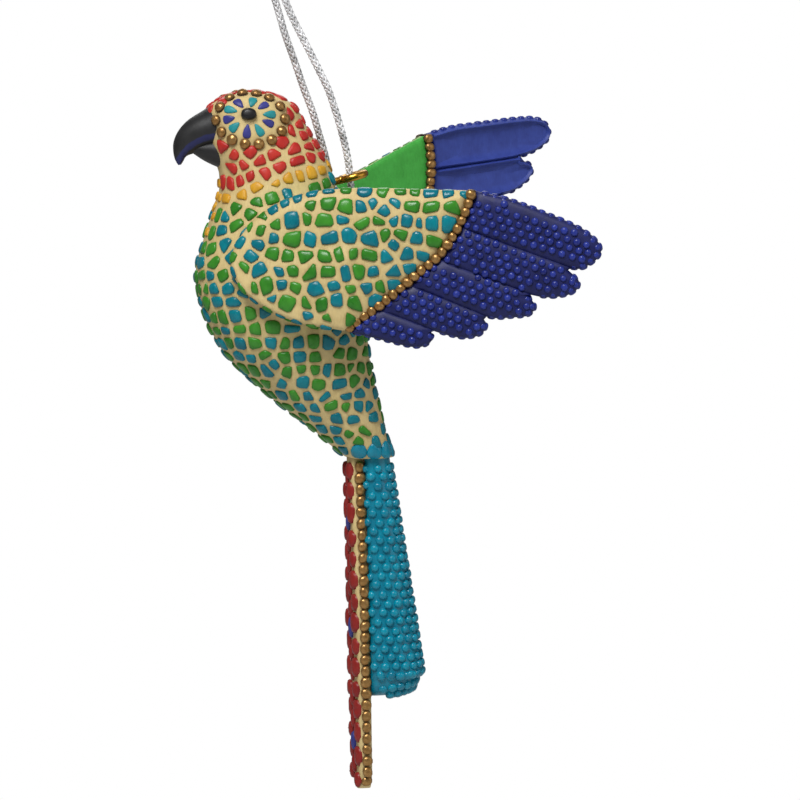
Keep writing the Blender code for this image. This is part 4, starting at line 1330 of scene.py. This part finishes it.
def tail_thick(f):
    return 2.9 - 0.5 * f


def long_tail():
    rng = random.Random(29)
    bm = bmesh.new()
    rings = []
    for i in range(-2, 46):
        f = i / 45
        f = f if f < 0.9 else 0.9 + 0.0999 * math.sin((f - 0.9) / 0.1 * math.pi / 2)
        z = TAIL_TOP - TAIL_LENGTH * f
        x0, w, th = tail_front(f), max(tail_half(max(f, 0)), 0.5), tail_thick(f)
        ring = []
        for c, s in around(24):
            k = squared(c, s, 6)
            ring.append(spot(x0 + th / 2 + th / 2 * k * c, w * k * s, z))
        rings.append(ring)
    bridge_rings(bm, rings)
    tree = BVHTree.FromBMesh(bm)
    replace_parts(piece("tail_slab", bm, "clay"), "long_tail")

    # tiles down the front, in two staggered files, red with a few blue
    outward = Vector((-1, 0, 0))
    reds, blues = [], []
    for file in (-1, 0, 1):
        z, count = -2.0 - (1.5 if file == 0 else 0.0), 0
        while z > -TAIL_LENGTH + 1.2:
            f = -z / TAIL_LENGTH
            half = tail_half(f)
            wide = half * (rng.uniform(0.33, 0.37) if file else 0.20)
            tall = rng.uniform(1.3, 1.9)
            y = file * half * 0.62
            p = spot(tail_front(f), y, TAIL_TOP + z)
            ring = []
            for c, s in around(14):
                k = squared(c, s, 2.8) * (1 + rng.uniform(-0.05, 0.05))
                w = p + Vector((0, wide * k * c, tall * k * s)) * MM
                hit = tree.ray_cast(w - Vector((5 * MM, 0, 0)), -outward, 10 * MM)[0]
                ring.append(hit or w)
            lump = (ring, p, outward, rng.uniform(0.6, 0.85) * MM, rng.random())
            count += 1
            (blues if file == 0 and count % 5 == 3 else reds).append(lump)
            z -= tall * 2 + rng.uniform(0.55, 0.95)
    for name, lumps, tone in (
            # the red tiles take the darker red paint: painted shade on the tail front
            ("tail_tiles_red", reds, "tail_red"), ("tail_tiles_blue", blues, "indigo")):
        lump_piece(name, lumps, tone)

    # gold pellets down both edges
    for name, side in (("left", -1.0), ("right", 1.0)):
        line = []
        for i in range(80):
            f = 0.004 + 0.985 * i / 79
            x = tail_front(f) + tail_thick(f) / 2 + 0.1
            half = tail_half(min(f, 0.975)) * (1 if f < 0.975 else 0.9) + 0.05
            line.append(spot(x, side * half, TAIL_TOP - TAIL_LENGTH * f))
        stops = even_steps(line, count=58)
        places = []
        for i in range(1, 58, 2):
            d = (stops[i + 1] - stops[i - 1]).normalized()
            places.append((stops[i], Vector((0, side, 0)), d))
        bead_row(name + "_tail_gold_beads", places, name + "_tail_beads", rng, 0.88, 0.86, 0.8)


def lobe_size(f):
    """Depth and half breadth of the lobe, from its top (0) to its blunt end (1)."""
    return 4.5 + 5.4 * f, 4.2 + 2.0 * f


def tail_lobe():
    rng = random.Random(31)
    bm = bmesh.new()
    rings = []
    length = LOBE_LENGTH

    def section(f, inset, z):
        g = (TAIL_TOP - z) / TAIL_LENGTH
        x0 = tail_front(g) + tail_thick(g) - 0.45
        deep, wide = (size * (1 - inset) for size in lobe_size(f))
        ring = []
        for c, s in around(36):
            k = squared(c, s, 2.7 if c > 0 else 5.0)
            back = (deep + 0.5) * (0.5 + 0.5 * k * c)
            # the rear comes to a soft keel
            narrow = 1 - 0.45 * max(back / deep - 0.45, 0) ** 1.5
            ring.append(spot(x0 + back, wide * k * s * narrow, z))
        return ring
    for i in range(-2, 33):
        f = i / 33
        rings.append(section(max(f, 0), 0.0, TAIL_TOP - length * f))
    for drop, inset in ((-0.6, 0.0), (0.1, 0.02), (0.7, 0.06), (1.1, 0.10), (1.5, 0.10),
                        (2.2, 0.13), (2.9, 0.20), (3.5, 0.30), (3.9, 0.42), (4.15, 0.58)):
        rings.append(section(1.0, inset, TAIL_TOP - length - drop))
    bridge_rings(bm, rings)
    bmesh.ops.recalc_face_normals(bm, faces=bm.faces)
    bm.normal_update()
    tree = BVHTree.FromBMesh(bm)
    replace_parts(piece("tail_lobe_coverts", bm, "lobe"), "tail_lobe")

    lumps = []

    def knob(origin, direction, r, height):
        hit, normal, _, _ = tree.ray_cast(origin, direction, 20 * MM)
        if not hit:
            return
        u, v = axes_on(normal, Vector((0, 0.02, 1)))
        lumps.append((disc(hit, u, v, r, 8), hit, normal, height * MM, rng.random()))
    row = 0
    z = TAIL_TOP - 1.4
    while z > TAIL_TOP - length - 0.2:
        f = (TAIL_TOP - z) / length
        g = (TAIL_TOP - z) / TAIL_LENGTH
        deep, wide = lobe_size(f)
        centre = Vector((tail_front(g) + tail_thick(g) + deep * 0.45, 0, z))
        count = max(8, round(2 * (deep * 0.8 + wide) / 1.9))
        for j in range(count):
            a = math.radians(-128) + math.radians(256) * (j + 0.5 * (row % 2)) / count
            ray = Vector((math.cos(a), math.sin(a), 0))
            knob(spot(*(centre + Vector((0, 0, rng.uniform(-0.15, 0.15))))), ray,
                 rng.uniform(0.72, 0.84), rng.uniform(0.58, 0.70))
        z -= 1.62
        row += 1
    # bigger knobs round the blunt end
    g = (length + 3.0) / TAIL_LENGTH
    for dip, r, high, many in ((6, 0.8, 0.55, 17), (27, 0.85, 0.5, 15), (44, 0.95, 0.85, 13),
                               (66, 0.9, 0.7, 8)):
        for j in range(many):
            a = math.radians(-122 + 244 * (j + (dip > 30) * 0.5) / many)
            e = math.radians(dip)
            knob(spot(tail_front(g) + tail_thick(g) + 4.9, 0, TAIL_TOP - length + 0.4),
                 Vector((math.cos(a) * math.cos(e), math.sin(a) * math.cos(e), -math.sin(e))),
                 r * rng.uniform(0.92, 1.05), high)
    lump_piece("tail_lobe_knobs", lumps, "lobe", DROP, 0.3)


def rump_scallops(skin):
    """Teal scallops where the tail coverts overlap the rump."""
    rng = random.Random(37)
    lumps = []
    for j in range(9):
        a = math.radians(-116 + 232 * j / 8)
        z = RUMP + 1.05 + rng.uniform(-0.15, 0.35)
        middle, depth, half = station(z)
        got = skin.drop(spot(middle + 0.5, 0, z), Vector((math.cos(a), math.sin(a), 0)), 14.0)
        if not got:
            continue
        n = skin.smooth_normal(got[0], 1.2)
        u, v = axes_on(n, Vector((0, 0, 1)))
        ring = [skin.settle(got[0] + (u * (1.9 if c > 0 else 1.3) * c + v * 1.45 * t) * MM, n)
                for c, t in around(14)]
        lumps.append((ring, got[0], n, 0.5 * MM, rng.random()))
    lump_piece("rump_scallops", lumps, "lobe")


# ------------------------------------------------------------------ screw eye and cord
TILT = math.radians(15.0)
RING_RADIUS, EYE_WIRE, CORD_DIAMETER, CORD_RUN = 2.2, 1.4, 1.43, 0.19
RING_OFF = (RING_RADIUS - (EYE_WIRE + CORD_DIAMETER) / 2 - CORD_RUN) * math.sqrt(0.5)
RING_CENTRE = spot(RING_OFF, -RING_OFF, -0.1)


def sweep(name, lines, thick, sides=3):
    """Round wires along lines of points, as one bmesh."""
    cu = bpy.data.curves.new(name, 'CURVE')
    cu.dimensions = '3D'
    cu.bevel_depth, cu.bevel_resolution, cu.resolution_u = thick * MM, sides, 1
    cu.use_fill_caps = True
    for line, closed in lines:
        sp = cu.splines.new('POLY')
        sp.points.add(len(line) - 1)
        for q, p in zip(sp.points, line):
            q.co = (*p, 1.0)
        sp.use_cyclic_u = closed
    ob = bpy.data.objects.new(name, cu)
    bpy.context.collection.objects.link(ob)
    graph = bpy.context.evaluated_depsgraph_get()
    mesh = bpy.data.meshes.new_from_object(ob.evaluated_get(graph))
    bpy.data.objects.remove(ob)
    bm = bmesh.new()
    bm.from_mesh(mesh)
    bmesh.ops.remove_doubles(bm, verts=bm.verts, dist=1e-6)
    return bm


def add_to(bm, more):
    mesh = bpy.data.meshes.new("added_part")
    more.to_mesh(mesh)
    more.free()
    bm.from_mesh(mesh)


def screw_eye():
    back = Vector((math.cos(TILT), 0.0, math.sin(TILT)))
    neck = RING_CENTRE - back * (RING_RADIUS + EYE_WIRE * 1.2) * MM
    up = Vector((-math.sin(TILT), 0, math.cos(TILT)))
    line = [neck - back * 6.0 * MM, neck - back * 3.0 * MM, neck - back * 0.3 * MM]
    ring = [RING_CENTRE + (back * -math.cos(a) - Vector((0, 1, 0)) * math.sin(a)) * RING_RADIUS * MM
            for a in [math.radians(24 + 312 * i / 44) for i in range(45)]]
    bend = curve_through([line[-1], line[-1].lerp(ring[0], 0.55) + Vector((0, 0.12, 0)) * MM,
                          ring[0], ring[2]], 0.25 * MM)
    bm = sweep("eye_wire", [(line + bend[1:-2] + ring, False)], EYE_WIRE / 2, 5)
    # the rolled thread on the shank
    turns, thread = 7, []
    for i in range(turns * 16):
        a = 2 * math.pi * i / 16
        c = neck - back * (0.9 + 0.72 * i / 16) * MM
        thread.append(c + (up * math.cos(a) + Vector((0, 1, 0)) * math.sin(a)) * 0.66 * MM)
    add_to(bm, sweep("eye_thread", [(thread, False)], 0.16, 2))
    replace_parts(piece("screw_eye_wire", bm, "brass"), "screw_eye")


def braid(lines, radius, pitch=4.2, step=0.26):
    """Eight silver yarns woven round a dark core along each line of points."""
    yarns, cores = [], []
    for line, closed in lines:
        pts = even_steps([Vector(p) for p in line], step=step * MM)
        side = None
        frames = []
        for i, p in enumerate(pts):
            d = (pts[min(i + 1, len(pts) - 1)] - pts[max(i - 1, 0)]).normalized()
            side = d.orthogonal().normalized() if side is None else (
                side - d * side.dot(d)).normalized()
            frames.append((p, side.copy(), d.cross(side)))
        for way in (1, -1):
            for j in range(4):
                yarn = []
                for i, (p, a, b) in enumerate(frames):
                    w = 2 * math.pi * i * step / pitch
                    c = way * w + 2 * math.pi * j / 4
                    r = (radius - 0.30 + way * 0.09 * math.cos(4 * w)) * MM
                    yarn.append(p + (a * math.cos(c) + b * math.sin(c)) * r)
                yarns.append((yarn, closed))
        cores.append((pts, closed))
    bm = sweep("yarns", yarns, 0.205, 1)
    start = len(bm.faces)
    add_to(bm, sweep("core", cores, radius - 0.36, 1))
    bm.faces.ensure_lookup_table()
    for face in bm.faces[start:]:
        face.material_index = 1
    return bm


CORD_THROUGH = ((-12.9, 0.0, 34.1), (-11.8, 0.0, 31.4), (-10.3, 0.0, 27.9),
                (-7.5, 0.0, 22.5), (-5.65, 0.0, 18.9), (-3.95, 0.0, 15.4),
                (-2.7, 0.0, 11.8), (-1.6, 0.0, 8.2), (-0.7, 0.0, 4.6), (-0.2, 0.0, 1.8))
CORD_BEHIND = ((-3.4, 5.2, 3.2), (-5.0, 4.4, 8.2), (-6.2, 3.8, 11.8), (-7.7, 3.2, 15.4),
               (-9.7, 2.3, 20.7), (-11.4, 1.5, 25.0), (-12.5, 0.8, 28.3),
               (-13.5, 0.3, 31.4), (-14.5, 0.0, 34.1))


def cord_route():
    mid = Vector((-1.3, 2.72, -0.6))
    across = Vector((-1.3, 2.72, 0.0)).normalized() * 3.02
    bend = [mid - across * math.cos(a) + Vector((0.8, 0, -3.02)) * math.sin(a)
            for a in [math.pi * i / 12 for i in range(13)]]
    loop = [Vector(p) for p in CORD_THROUGH] + bend + [Vector(p) for p in CORD_BEHIND]
    return [spot(*p) for p in curve_through(loop, 0.6)]


def cord_and_knot():
    route = cord_route()
    cord = piece("cord_loop_braid", braid([(route, False)], CORD_DIAMETER / 2), ["silver", "core"],
                 "cord_loop", 80, False)
    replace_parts(cord, "hanging_cord")
    low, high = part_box("cord_knot")
    centre = Vector(((low.x + high.x) / 2, 0, low.z + 2.3 * MM))
    turn = []
    for i in range(90):
        t = 2 * math.pi * i / 90
        turn.append(centre + Vector(((math.sin(t) + 2 * math.sin(2 * t)) * 0.53,
                                     -math.sin(3 * t) * 0.95,
                                     (math.cos(t) - 2 * math.cos(2 * t)) * 0.53)) * MM)
    legs = []
    for x0, x1 in ((0.8, 0.5), (-0.8, -1.4)):
        legs.append((curve_through([Vector((x0, 0, 0)) * MM, Vector((x0 * 0.9, 0, 0.8)) * MM,
                                    Vector((x1, 0.3, 2.2)) * MM], 0.4 * MM), False))
    top = high.z - 0.5 * MM
    for x0, x1, y in ((-0.6, 0.1, 0.5), (-1.4, -2.1, -0.4)):
        legs.append((curve_through([Vector((x0 * MM, 0, 3.2 * MM)),
                                    Vector((x0 * MM, y * MM, 5 * MM)),
                                    Vector((x1 * MM, y * MM, top))], 0.4 * MM), False))
    tied = braid([(turn + turn[:1], False)] + legs, CORD_DIAMETER / 2, step=0.3)
    knot = piece("cord_overhand_knot", tied, ["silver", "core"], "cord_loop",
                 80, False)
    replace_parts(knot, "cord_knot")
    return route


# ------------------------------------------------------------------ build
set_the_room()
make_finishes()
route = cord_and_knot()
clay = clay_form()
skin = Skin(clay)
mosaic(skin, route, RING_CENTRE)
rump_scallops(skin)
head(skin)
body_piece = piece("clay_body_and_wings", clay, "clay", smooth=75,
                   flip_fix=False)
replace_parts(body_piece, "body", "left_wing_coverts", "right_wing_coverts")
beak()
for one in WINGS:
    flight_feathers(one)
    wing_bands(one)
long_tail()
tail_lobe()
screw_eye()
for hidden in ("left_wing_pin", "right_wing_pin", "tail_wire"):
    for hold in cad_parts[hidden].material_slots:
        hold.material = FINISH["steel"]
